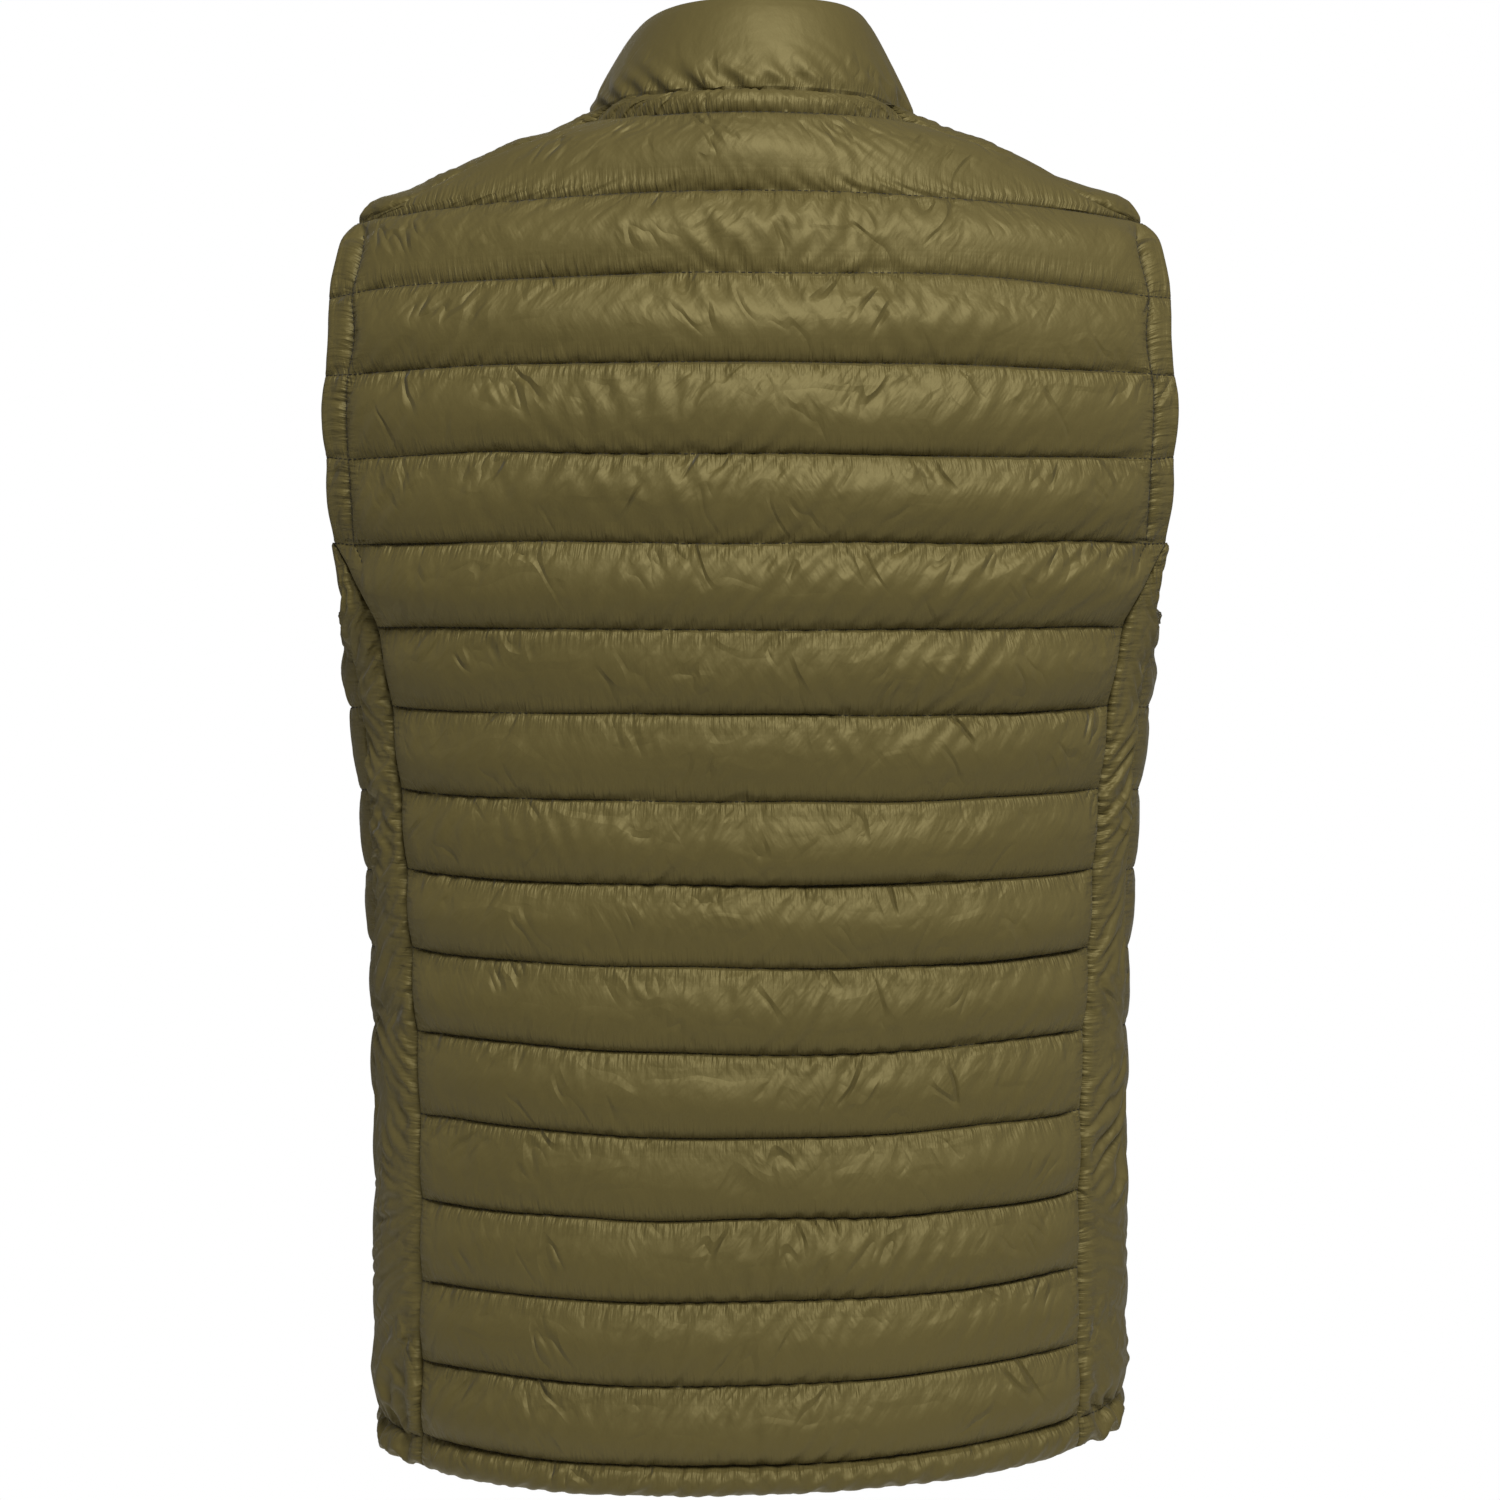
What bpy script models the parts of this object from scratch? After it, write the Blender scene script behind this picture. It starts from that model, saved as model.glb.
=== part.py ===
"""Quilted puffer vest, zipped shut, in the hollow shape it keeps when it is worn.

Metres, +Z up. The front faces -Y and the back +Y; +X is the wearer's left.
The origin is midway between the shoulder ridges, where the vest is held.

Every cloth piece is a wall between a plain inner face, on the figure below, and
an outer face raised by its quilting. A point of the figure is found by a height
z and an angle round the body: 0 at the side, 90 degrees at the centre of the
back and -90 at the centre of the front.
"""

import math

import bmesh
import bpy
import numpy as np
from mathutils import Matrix, Vector

# ------------------------------------------------------------------ sizes (m)
HEM_EDGE = -0.685
# The quilting lines at the centre of the back, from the hem's seam to the shoulders.
LINE_Z = (
    -0.6690, -0.6285, -0.5876, -0.5465, -0.5042, -0.4625, -0.4198, -0.3776,
    -0.3345, -0.2907, -0.2480, -0.2050, -0.1611, -0.1159, -0.0702, -0.0290,
)
HEM_SEAM = LINE_Z[0]
TIP = LINE_Z[11]  # the point of each side piece
ARM_LOW = -0.2620  # the bottom of the armhole, where front and side meet
WALL = 0.0025  # cloth and wadding where they are stitched flat
PUFF = 0.0078  # how much a channel rises above its lines
HEM_PUFF = 0.0042
SEAM_GAP = 0.00018  # kept by each piece, so that two pieces are twice this apart
SLANT_GAP = 0.0007  # the same where a row meets its seam at a slant
ZIP_EDGE = 0.0062  # half the gap between the two front edges
COLLAR_PUFF = 0.0048

# The figure inside the cloth. Each section is |x/half_width|^squareness
# + |y/depth|^squareness = 1. Between the armholes the width runs past the cloth.
FIGURE = (
    # z, half_width, back_depth, front_depth, squareness
    (-0.690, 0.1945, 0.1215, 0.1130, 2.05),
    (-0.667, 0.1956, 0.1210, 0.1135, 2.05),
    (-0.600, 0.1968, 0.1180, 0.1150, 2.05),
    (-0.520, 0.1958, 0.1130, 0.1170, 2.05),
    (-0.450, 0.1960, 0.1095, 0.1190, 2.05),
    (-0.380, 0.1990, 0.1085, 0.1215, 2.05),
    (-0.320, 0.2055, 0.1110, 0.1245, 2.05),
    (-0.270, 0.2150, 0.1155, 0.1270, 2.05),
    (-0.240, 0.2235, 0.1185, 0.1280, 2.05),
    (-0.2035, 0.2340, 0.1200, 0.1275, 2.00),
    (-0.160, 0.2455, 0.1200, 0.1250, 1.95),
    (-0.120, 0.2490, 0.1170, 0.1200, 1.90),
    (-0.080, 0.2420, 0.1090, 0.1115, 1.85),
    (-0.060, 0.2300, 0.1030, 0.1055, 1.80),
    (-0.045, 0.2160, 0.0980, 0.1005, 1.75),
    (-0.0315, 0.2003, 0.0930, 0.0955, 1.70),
    (-0.0227, 0.1725, 0.0900, 0.0925, 1.70),
    (-0.0094, 0.1395, 0.0850, 0.0875, 1.72),
    (0.0039, 0.1075, 0.0790, 0.0825, 1.76),
    (0.0097, 0.0920, 0.0765, 0.0800, 1.80),
    (0.0155, 0.0828, 0.0740, 0.0770, 1.85),
    (0.0209, 0.0785, 0.0710, 0.0730, 1.92),
    (0.0264, 0.0775, 0.0680, 0.0700, 2.00),
)

# How far the ends of a line hang below its middle, at x = 0.2.
SAG = (
    (HEM_EDGE, 0.0), (HEM_SEAM, -0.003), (-0.6285, -0.003), (-0.547, -0.0045), (-0.4625, -0.006),
    (-0.42, -0.0065), (-0.335, -0.003), (-0.29, -0.002), (-0.25, 0.0), (TIP, 0.0), (-0.161, 0.0),
    (-0.116, 0.003), (-0.070, 0.008), (-0.029, 0.010), (0.012, 0.006), (0.0246, 0.0),
)

# Seams and edges: z, then where the line lies on the section at that height.
BACK_SEAM_X = (
    (-0.690, 0.1698), (-0.546, 0.1700), (-0.459, 0.1724), (-0.415, 0.1750), (-0.334, 0.1800),
    (-0.294, 0.1838), (-0.246, 0.1920), (-0.2225, 0.2035), (TIP, 0.2145),
)
ARMHOLE_BACK_X = (
    (TIP, 0.2145), (-0.170, 0.2172), (-0.130, 0.2190), (-0.100, 0.2155), (-0.080, 0.2170),
    (-0.060, 0.2130), (-0.050, 0.2115), (-0.042, 0.2080), (-0.0385, 0.2042),
)
SHOULDER_SEAM_X = (
    (-0.0385, 0.2042), (-0.0344, 0.1880), (-0.0227, 0.1580), (-0.0094, 0.1260), (-0.0011, 0.1060),
    (0.0120, 0.0800), (0.0185, 0.0705), (0.0246, 0.0600),
)
SIDE_SEAM_Y = (
    (-0.690, 0.0080), (-0.550, 0.0080), (-0.450, 0.0140), (-0.370, 0.0240), (-0.300, 0.0300),
    (ARM_LOW, 0.0320),
)
ARMHOLE_LOW_Y = ((ARM_LOW, 0.0320), (-0.2553, 0.0370), (-0.2400, 0.0410), (-0.2200, 0.0440), (TIP, 0.0450))
ARMHOLE_FRONT_Y = (
    (ARM_LOW, 0.0320), (-0.2560, -0.0120), (-0.2477, -0.0320), (-0.2350, -0.0480), (-0.2000, -0.0610),
    (-0.1600, -0.0650), (-0.1200, -0.0630), (-0.0800, -0.0550), (-0.0560, -0.0430), (-0.0435, -0.0290),
    (-0.0380, -0.0180), (-0.0350, -0.0090), (-0.0315, 0.0060),
)
STRIP_FRONT_Y = (
    (-0.0385, 0.0150), (-0.0350, 0.0110), (-0.0315, 0.0060), (0.0145, 0.0060), (0.0190, 0.0190),
    (0.0225, 0.0320),
)
NECK_FRONT_X = (
    (-0.0479, ZIP_EDGE), (-0.0435, 0.0300), (-0.0380, 0.0455), (-0.0350, 0.0510), (-0.0315, 0.0565),
    (-0.0265, 0.0615), (-0.0195, 0.0665), (-0.0085, 0.0730), (0.0025, 0.0790), (0.0105, 0.0825),
    (0.0130, 0.0835),
)

# Rows above the last line: z, and how much of the puff each one has.
BACK_TOP = (
    (-0.0195, 0.72), (-0.0120, 0.95), (-0.0040, 1.0), (0.0045, 0.75), (0.0120, 0.0), (0.0185, 0.45),
    (0.0246, 0.0),
)
FRONT_TOP = ((-0.0195, 0.70), (-0.0085, 1.0), (0.0025, 0.80), (0.0105, 0.45), (0.0130, 0.1))
STRIP_PUFF = (
    (-0.0385, 0.15), (-0.0315, 0.6), (-0.0195, 0.85), (-0.0085, 0.9), (0.0025, 0.85), (0.0105, 0.7),
    (0.0225, 0.1),
)
FRONT_SHOULDER_ROWS = (-0.0630, -0.0545, -0.0479, -0.0435, -0.0380, -0.0350, -0.0315)

# Across a piece: how far a column is from the edge, and its share of the puff
# where that edge is a seam, an armhole with its turned edge, or the zip.
EDGE_COLUMNS = (
    # distance, at_seam, at_armhole, at_zip
    (0.000, 0.10, 0.34, 0.12),
    (0.008, 0.62, 0.58, 0.66),
    (0.017, 0.86, 0.10, 0.88),
    (0.027, 0.96, 0.80, 0.97),
)


def smooth(table, at):
    """The table's curve at these places, without overshoot (monotone cubic)."""
    x, y = np.array(table, float).T
    step = np.diff(x)
    rise = np.diff(y) / step
    slope = np.concatenate([[rise[0]], np.zeros(len(x) - 2), [rise[-1]]])
    for i in range(1, len(x) - 1):
        if rise[i - 1] * rise[i] > 0:
            a, b = 2 * step[i] + step[i - 1], step[i] + 2 * step[i - 1]
            slope[i] = (a + b) / (a / rise[i - 1] + b / rise[i])
    at = np.clip(at, x[0], x[-1])
    i = np.clip(np.searchsorted(x, at) - 1, 0, len(step) - 1)
    t = (at - x[i]) / step[i]
    return (
        y[i] * (1 + 2 * t) * (1 - t) ** 2
        + slope[i] * step[i] * t * (1 - t) ** 2
        + y[i + 1] * t * t * (3 - 2 * t)
        + slope[i + 1] * step[i] * t * t * (t - 1)
    )


def straight(table, at):
    x, y = np.array(table, float).T
    return np.interp(at, x, y)


_Z = [row[0] for row in FIGURE]
_COLUMNS = [[(z, row[i]) for z, row in zip(_Z, FIGURE)] for i in range(1, 5)]


def figure(z):
    """half_width, back_depth, front_depth and squareness at these heights."""
    return [smooth(column, z) for column in _COLUMNS]


def on_figure(angle, z):
    """The figure's points at these angles (radians) and heights."""
    width, back, front, n = figure(z)
    c, s = np.cos(angle), np.sin(angle)
    x = width * np.sign(c) * np.abs(c) ** (2 / n)
    y = np.where(s > 0, back, front) * np.sign(s) * np.abs(s) ** (2 / n)
    return np.stack([x, y, np.broadcast_to(z, x.shape)], -1)


def outward(p):
    """The figure's unit normals at these points."""

    def inside(q):
        width, back, front, n = figure(q[..., 2])
        depth = np.where(q[..., 1] > 0, back, front)
        return np.abs(q[..., 0] / width) ** n + np.abs(q[..., 1] / depth) ** n

    e = 2e-4
    grad = np.stack([inside(p + e * axis) - inside(p - e * axis) for axis in np.eye(3)], -1)
    return grad / np.linalg.norm(grad, axis=-1, keepdims=True)


def angle_at_x(x, z, back=True):
    width, _, _, n = figure(z)
    angle = np.arccos(np.clip(x / width, 0, 1) ** (n / 2))
    return angle if back else -angle


def angle_at_y(y, z):
    _, back, front, n = figure(z)
    depth = back if y > 0 else front
    return math.copysign(float(np.arcsin(np.clip(abs(y) / depth, 0, 1) ** (n / 2))), y)


def channel(z):
    """How far up its channel a height is, 0 to 1, and the rise of that channel."""
    if z < HEM_SEAM - 1e-6:
        return (z - HEM_EDGE) / (HEM_SEAM - HEM_EDGE), HEM_PUFF
    k = min(int(np.searchsorted(LINE_Z, z + 1e-6)), len(LINE_Z) - 1)
    return max(0.0, (z - LINE_Z[k - 1]) / (LINE_Z[k] - LINE_Z[k - 1])), PUFF


def rise(z):
    share, puff = channel(z)
    return puff * max(0.0, math.sin(math.pi * share)) ** 0.62


def quilted_rows(top):
    """(height, rise, kept on the inner face) from the hem edge to this line."""
    rows = [(HEM_EDGE, 0.30 * HEM_PUFF, True), ((HEM_EDGE + HEM_SEAM) / 2, 0.95 * HEM_PUFF, False)]
    for k in range(top):
        low, high = LINE_Z[k : k + 2]
        heights = [low + (high - low) * share for share in (0.17, 0.5, 0.83)]
        if low < ARM_LOW < high:
            heights = [low + 0.008, low + 0.018, ARM_LOW, -0.2553]
        rows.append((low, 0.0, True))
        rows += [(z, rise(z), i == 1 or z == ARM_LOW) for i, z in enumerate(heights)]
    rows.append((LINE_Z[top], 0.0, True))
    return rows


def stations(length, middle, start, end):
    """Distances along a row: the edge columns, then evenly spaced ones."""
    ease = min(1.0, length / 0.16)
    near = [d * ease for d, *_ in EDGE_COLUMNS]
    first, last = near if start else near[:1], near if end else near[:1]
    inner = np.linspace(first[-1], length - last[-1], middle + 2)[1:-1]
    return np.concatenate([first, inner, length - np.array(last[::-1])])


def lay_row(z, start, end, middle, gap, sag, ends=(True, True)):
    """One row of figure points between two angles, evenly spaced along it."""
    angle = np.linspace(start, end, 241)
    height = np.full(angle.shape, z)
    for _ in range(4 if sag else 1):
        p = on_figure(angle, height)
        height = z - sag * (p[:, 0] / 0.2) ** 2
    along = np.concatenate([[0], np.cumsum(np.linalg.norm(np.diff(p, axis=0), axis=1))])
    length = along[-1] - 2 * gap
    at = gap + stations(length, middle, *ends)
    angle = np.interp(at, along, angle)
    height = np.interp(at, along, height)
    return on_figure(angle, height)


def shares(z, middle, edges):
    """Each column's share of the puff, from what the row's two ends are."""
    arm = float(np.clip((z + 0.235) / 0.03, 0, 1)) * float(np.clip((-0.030 - z) / 0.012, 0, 1))
    seam, armhole, zip_edge = [np.array([row[i] for row in EDGE_COLUMNS]) for i in (1, 2, 3)]
    table = {"side": seam + (armhole - seam) * arm, "zip": zip_edge}
    return np.concatenate([table[edges[0]], np.ones(middle), table[edges[1]][::-1]])


def closed(name, outer, inner, kept):
    """A closed wall from its outer rows and those inner rows that are kept."""
    rows, columns = len(outer), len(outer[0])
    points = [tuple(p) for row in outer for p in row]
    base = len(points)
    points += [tuple(p) for row in inner for p in row]

    def face(r, c):
        return r * columns + c

    def back(r, c):
        return base + kept.index(r) * columns + c

    faces = [
        (face(r, c), face(r, c + 1), face(r + 1, c + 1), face(r + 1, c))
        for r in range(rows - 1)
        for c in range(columns - 1)
    ]
    for a, b in zip(kept, kept[1:]):
        faces += [(back(a, c), back(b, c), back(b, c + 1), back(a, c + 1)) for c in range(columns - 1)]
        between = range(b, a - 1, -1)
        faces.append((back(a, 0), *[face(r, 0) for r in reversed(between)], back(b, 0)))
        faces.append((back(b, columns - 1), *[face(r, columns - 1) for r in between], back(a, columns - 1)))
    for c in range(columns - 1):
        faces.append((face(0, c), back(0, c), back(0, c + 1), face(0, c + 1)))
        faces.append((face(rows - 1, c + 1), back(rows - 1, c + 1), back(rows - 1, c), face(rows - 1, c)))
    return add_mesh(name, points, faces)


def add_mesh(name, points, faces):
    """An object from points and faces, turned to face out."""
    mesh = bpy.data.meshes.new(name)
    mesh.from_pydata(points, [], faces)
    built = bmesh.new()
    built.from_mesh(mesh)
    bmesh.ops.triangulate(built, faces=[f for f in built.faces if len(f.verts) > 4])
    if built.calc_volume(signed=True) < 0:
        bmesh.ops.reverse_faces(built, faces=built.faces)
    built.to_mesh(mesh)
    built.free()
    obj = bpy.data.objects.new(name, mesh)
    bpy.context.scene.collection.objects.link(obj)
    return obj


def place(obj, parent, at=None):
    """Hangs a piece from an empty, its own origin at this point or at its middle."""
    if at is None:
        corners = np.array([v.co for v in obj.data.vertices])
        at = np.round((corners.min(axis=0) + corners.max(axis=0)) / 2, 3)
    obj.data.transform(Matrix.Translation(-Vector(at)))
    obj.location = at
    obj.parent = parent


def empty(name, parent=None, at=(0.0, 0.0, 0.0), tilt=0.0):
    """A point that pieces hang from, turned about X."""
    obj = bpy.data.objects.new(name, None)
    obj.empty_display_size = 0.02
    obj.location = at
    obj.rotation_euler = (tilt, 0.0, 0.0)
    obj.parent = parent
    bpy.context.scene.collection.objects.link(obj)
    return obj


def paint(obj, colour, roughness, metallic):
    """Gives an object a Principled material of its own."""
    material = bpy.data.materials.new(obj.name + "_material")
    material.use_nodes = True
    shader = material.node_tree.nodes["Principled BSDF"]
    shader.inputs["Base Color"].default_value = (*colour, 1.0)
    shader.inputs["Roughness"].default_value = roughness
    shader.inputs["Metallic"].default_value = metallic
    obj.data.materials.append(material)


def mirrored(points):
    return [np.array(row) * (-1, 1, 1) for row in points]


def add_pair(name, outer, inner, kept):
    """The wearer's left piece at +X, and the right one as its mirror image."""
    closed(name + "_left", outer, inner, kept)
    closed(name + "_right", mirrored(outer), mirrored(inner), kept)


def wall(rows, row_points, middle, edges, lift=1.0):
    """Outer and inner rows of a piece, and which rows its inner face keeps."""
    outer, inner, kept = [], [], []
    for index, ((z, puff, keep), base) in enumerate(zip(rows, row_points)):
        share = shares(z, middle, edges)
        height = WALL + lift * puff * share
        outer.append(base + outward(base) * height[:, None])
        if keep or index in (0, len(rows) - 1):
            inner.append(base)
            kept.append(index)
    return outer, inner, kept


# ----------------------------------------------------------------- the pieces
def back_edge(z):
    """Where the back piece ends, as x, at this height."""
    if z < TIP:
        return float(smooth(BACK_SEAM_X, z))
    if z < -0.0385:
        return float(smooth(ARMHOLE_BACK_X, z))
    return float(straight(SHOULDER_SEAM_X, z))


def back_rows():
    rows = quilted_rows(len(LINE_Z) - 1)
    return rows + [(z, PUFF * share, True) for z, share in BACK_TOP]


def row_end(z):
    """The sag of the back's row at this height, and where the row ends: x and z."""
    sag = float(straight(SAG, z))
    end_z = z
    for _ in range(30):
        x = back_edge(end_z)
        end_z = z - sag * (x / 0.2) ** 2
    return sag, x, end_z


def add_back():
    middle = 15
    rows, laid = back_rows(), []
    for z, _, _ in rows:
        sag, x, end_z = row_end(z)
        angle = float(angle_at_x(x, end_z))
        gap = SLANT_GAP if end_z > -0.0385 else SEAM_GAP
        laid.append(lay_row(z, angle, math.pi - angle, middle, gap, sag))
    closed("back", *wall(rows, laid, middle, ("side", "side")))


def side_rows():
    return [(z, 0.0, keep) for z, _, keep in quilted_rows(LINE_Z.index(TIP))]


def side_rise(z):
    """A side piece isn't quilted: one soft bulge, flat at the hem's stitching."""
    if z < HEM_SEAM - 1e-6:
        return rise(z)
    near_hem = min(1.0, (z - HEM_SEAM) / 0.03)
    near_tip = min(1.0, max(0.0, (TIP - z) / 0.05))
    return 0.0052 * near_hem**0.5 * near_tip**0.7


def add_sides():
    rows = [(z, side_rise(z), keep) for z, _, keep in side_rows()]
    laid = []
    for z, _, _ in rows:
        back = float(angle_at_x(float(smooth(BACK_SEAM_X, z)), z))
        if z < ARM_LOW:
            front = angle_at_y(float(smooth(SIDE_SEAM_Y, z)), z)
        else:
            front = angle_at_y(float(smooth(ARMHOLE_LOW_Y, z)), z)
        laid.append(lay_row(z, front, back, 3, SEAM_GAP, 0.0, ends=(False, False)))
    outer, inner, kept = [], [], []
    across = np.array([0.05, 0.85, 1.0, 0.85, 0.05])
    for index, ((z, puff, keep), base) in enumerate(zip(rows, laid)):
        outer.append(base + outward(base) * (WALL + puff * across)[:, None])
        if keep or index in (0, len(rows) - 1):
            inner.append(base)
            kept.append(index)
    add_pair("side", outer, inner, kept)


def front_rows():
    rows = quilted_rows(len(LINE_Z) - 2)
    rows += [(z, rise(z), z > -0.0500) for z in FRONT_SHOULDER_ROWS]
    rows.append((LINE_Z[-1], 0.0, True))
    return rows + [(z, PUFF * share, True) for z, share in FRONT_TOP]


def front_outer_angle(z):
    if z < ARM_LOW:
        return angle_at_y(float(smooth(SIDE_SEAM_Y, z)), z)
    if z < -0.0315:
        return angle_at_y(float(straight(ARMHOLE_FRONT_Y, z)), z)
    return angle_at_y(0.0060, z)


def front_inner_angle(z):
    x = float(straight(NECK_FRONT_X, z)) if z > -0.0479 else ZIP_EDGE
    return float(angle_at_x(x, z, back=False))


def add_fronts():
    middle = 6
    rows, laid = front_rows(), []
    for z, _, _ in rows:
        gap = SLANT_GAP if z > -0.0320 else SEAM_GAP
        laid.append(lay_row(z, front_inner_angle(z), front_outer_angle(z), middle, gap, 0.0))
    add_pair("front", *wall(rows, laid, middle, ("zip", "side")))


def add_shoulders():
    ends = [row_end(z)[2] for z, _, _ in back_rows()]
    heights = [-0.0385] + [z for z in ends if -0.0380 < z < 0.0200] + [0.0225]
    rows = [(z, PUFF * float(straight(STRIP_PUFF, z))) for z in heights]
    laid = []
    for z, _ in rows:
        seam = float(angle_at_x(back_edge(max(z, -0.03849)), z))
        front = angle_at_y(float(straight(STRIP_FRONT_Y, z)), z)
        laid.append(lay_row(z, front, seam, 3, SLANT_GAP, 0.0, ends=(False, False)))
    outer, inner, kept = [], [], []
    across = np.array([0.08, 0.8, 1.0, 0.8, 0.08])
    for index, ((_, puff), base) in enumerate(zip(rows, laid)):
        outer.append(base + outward(base) * (WALL + puff * across)[:, None])
        inner.append(base)
        kept.append(index)
    add_pair("shoulder", outer, inner, kept)


# ----------------------------------------------------------------- the collar
RIM_HALF_WIDTH = 0.0625
RIM_BACK, RIM_FRONT = 0.0500, -0.0860
RIM_HIGH, RIM_LOW = 0.0730, 0.0080


def neck_half():
    """The neck seam on the figure, from the zip round to the centre of the back."""
    points = []
    for z, x in NECK_FRONT_X:
        points.append(on_figure(np.array(angle_at_x(x, z, back=False)), np.array(z)))
    for z, y in ((0.0145, 0.0060), (0.0190, 0.0190), (0.0225, 0.0320)):
        points.append(on_figure(np.array(angle_at_y(y, z)), np.array(z)))
    for x in (0.0600, 0.0470, 0.0320, 0.0160, 0.0):
        points.append(on_figure(np.array(angle_at_x(x, 0.0246)), np.array(0.0246)))
    return np.array(points)


def neck_normals(points):
    """Outward normals, and the way on from each point into the neck hole."""
    normal = outward(points)
    along = np.gradient(points, axis=0)
    along /= np.linalg.norm(along, axis=1, keepdims=True)
    on = np.cross(along, normal)
    middle = np.array((0.0, -0.02, 0.10))
    on *= np.sign((on * (middle - points)).sum(1))[:, None]
    return normal, on / np.linalg.norm(on, axis=1, keepdims=True)


def rim_half(share):
    """The collar's upper edge, from the zip (0) to the centre of the back (1)."""
    start = -math.pi / 2 + math.asin(ZIP_EDGE / RIM_HALF_WIDTH)
    angle = np.linspace(start, math.pi / 2, 400)
    middle, half = (RIM_BACK + RIM_FRONT) / 2, (RIM_BACK - RIM_FRONT) / 2
    x, y = RIM_HALF_WIDTH * np.cos(angle), middle + half * np.sin(angle)
    z = RIM_HIGH - (RIM_HIGH - RIM_LOW) * np.clip((RIM_BACK - y) / (RIM_BACK - RIM_FRONT), 0, 1) ** 1.9
    p = np.stack([x, y, z], 1)
    along = np.concatenate([[0], np.cumsum(np.linalg.norm(np.diff(p, axis=0), axis=1))])
    at = share * along[-1]
    return np.stack([np.interp(at, along, p[:, i]) for i in range(3)], 1)


COLLAR_ROWS = (
    # share of the height, share of the puff, wall behind the sewn surface
    (0.00, 0.00, 0.0030),
    (0.12, 0.62, 0.0031),
    (0.30, 0.92, 0.0033),
    (0.50, 1.00, 0.0036),
    (0.72, 0.90, 0.0040),
    (0.90, 0.62, 0.0044),
    (0.98, 0.20, 0.0046),
)


def collar_surfaces():
    """Outer and inner rows of half the collar, from the zip to the back."""
    seam = neck_half()
    normal, on = neck_normals(seam)
    base = seam + normal * (WALL + 0.0004) + on * 0.0006
    base[0, 0] = ZIP_EDGE
    base[-1, 0] = 0.0
    along = np.concatenate([[0], np.cumsum(np.linalg.norm(np.diff(base, axis=0), axis=1))])
    rim = rim_half(along / along[-1])
    up = rim - base
    side = np.gradient(base + rim, axis=0)
    out = np.cross(up, side)
    out /= np.linalg.norm(out, axis=1, keepdims=True)
    out *= np.sign((out * (base - (0, -0.02, 0))).sum(1))[:, None]
    out[0] *= (0, 1, 1)
    out[-1] *= (0, 1, 1)
    flat = np.stack([out[:, 0], out[:, 1], np.zeros(len(out))], 1)
    flat /= np.linalg.norm(flat, axis=1, keepdims=True)
    edge = np.clip(along / 0.02, 0.15, 1) ** 0.6
    outer, inner = [], []
    for share, puff, behind in COLLAR_ROWS:
        middle = base + up * share
        outer.append(middle + out * (COLLAR_PUFF * puff * edge)[:, None])
        inner.append(middle - (flat if share == 0 else out) * behind)
    top = base + up * 1.03 - out * 0.0022
    return outer, inner, top


def add_collar():
    outer, inner, top = collar_surfaces()
    rings = outer + [top] + inner[:0:-2] + [inner[0]]
    rings = [np.concatenate([ring, (ring * (-1, 1, 1))[-2::-1]]) for ring in rings]
    columns, count = len(rings[0]), len(rings)
    points = [tuple(p) for ring in rings for p in ring]
    faces = []
    for r in range(count):
        a, b = r * columns, (r + 1) % count * columns
        faces += [(a + c, a + c + 1, b + c + 1, b + c) for c in range(columns - 1)]
    faces.append(tuple(r * columns for r in range(count)))
    faces.append(tuple(r * columns + columns - 1 for r in reversed(range(count))))
    add_mesh("collar", points, faces)


# -------------------------------------------------------------------- the zip
TAPE_NEAR, TAPE_FAR, TAPE_THICK = 0.0034, 0.0130, 0.0009
CHAIN_HALF, CHAIN_OUT, CHAIN_IN = 0.0029, 0.0016, 0.0014
ZIP_BOTTOM, CHAIN_TOP = -0.6815, -0.0060
SLIDER_TOP = -0.0010


def zip_line(x=ZIP_EDGE):
    """The inner face this far from the zip's middle, as (y, z) from the hem up."""
    heights = np.concatenate([np.arange(ZIP_BOTTOM, -0.052, 0.0171), [-0.0490]])
    line = []
    for z in heights:
        near = on_figure(np.array(angle_at_x(max(x, ZIP_EDGE), z, back=False)), np.array(z))
        line.append((near[1], z))
    _, inner, _ = collar_surfaces()
    for row in inner[1:-1]:
        share = max(0.0, (x - ZIP_EDGE) / (row[1][0] - row[0][0]))
        y, z = (row[0] + share * (row[1] - row[0]))[1:]
        line.append((y, z))
    return np.array(line)


def bar(name, lines, near, far, out, back, sign=1.0):
    """A flat strip along the zip, between two distances from its middle."""
    points, faces = [], []
    inward = []
    for line in lines:
        along = np.gradient(line, axis=0)
        along /= np.linalg.norm(along, axis=1, keepdims=True)
        inward.append(np.stack([along[:, 1], -along[:, 0]], 1))
    count = len(lines[0])
    for i in range(count):
        for x, d, side in ((near, -out, 0), (far, -out, 1), (far, back, 1), (near, back, 0)):
            (y, z), (iy, iz) = lines[side][i], inward[side][i]
            points.append((sign * x, y + iy * d, z + iz * d))
    for i in range(count - 1):
        a, b = 4 * i, 4 * i + 4
        faces += [(a + j, a + (j + 1) % 4, b + (j + 1) % 4, b + j) for j in range(4)]
    faces += [(3, 2, 1, 0), tuple(range(4 * count - 4, 4 * count))]
    return add_mesh(name, points, faces)


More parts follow.
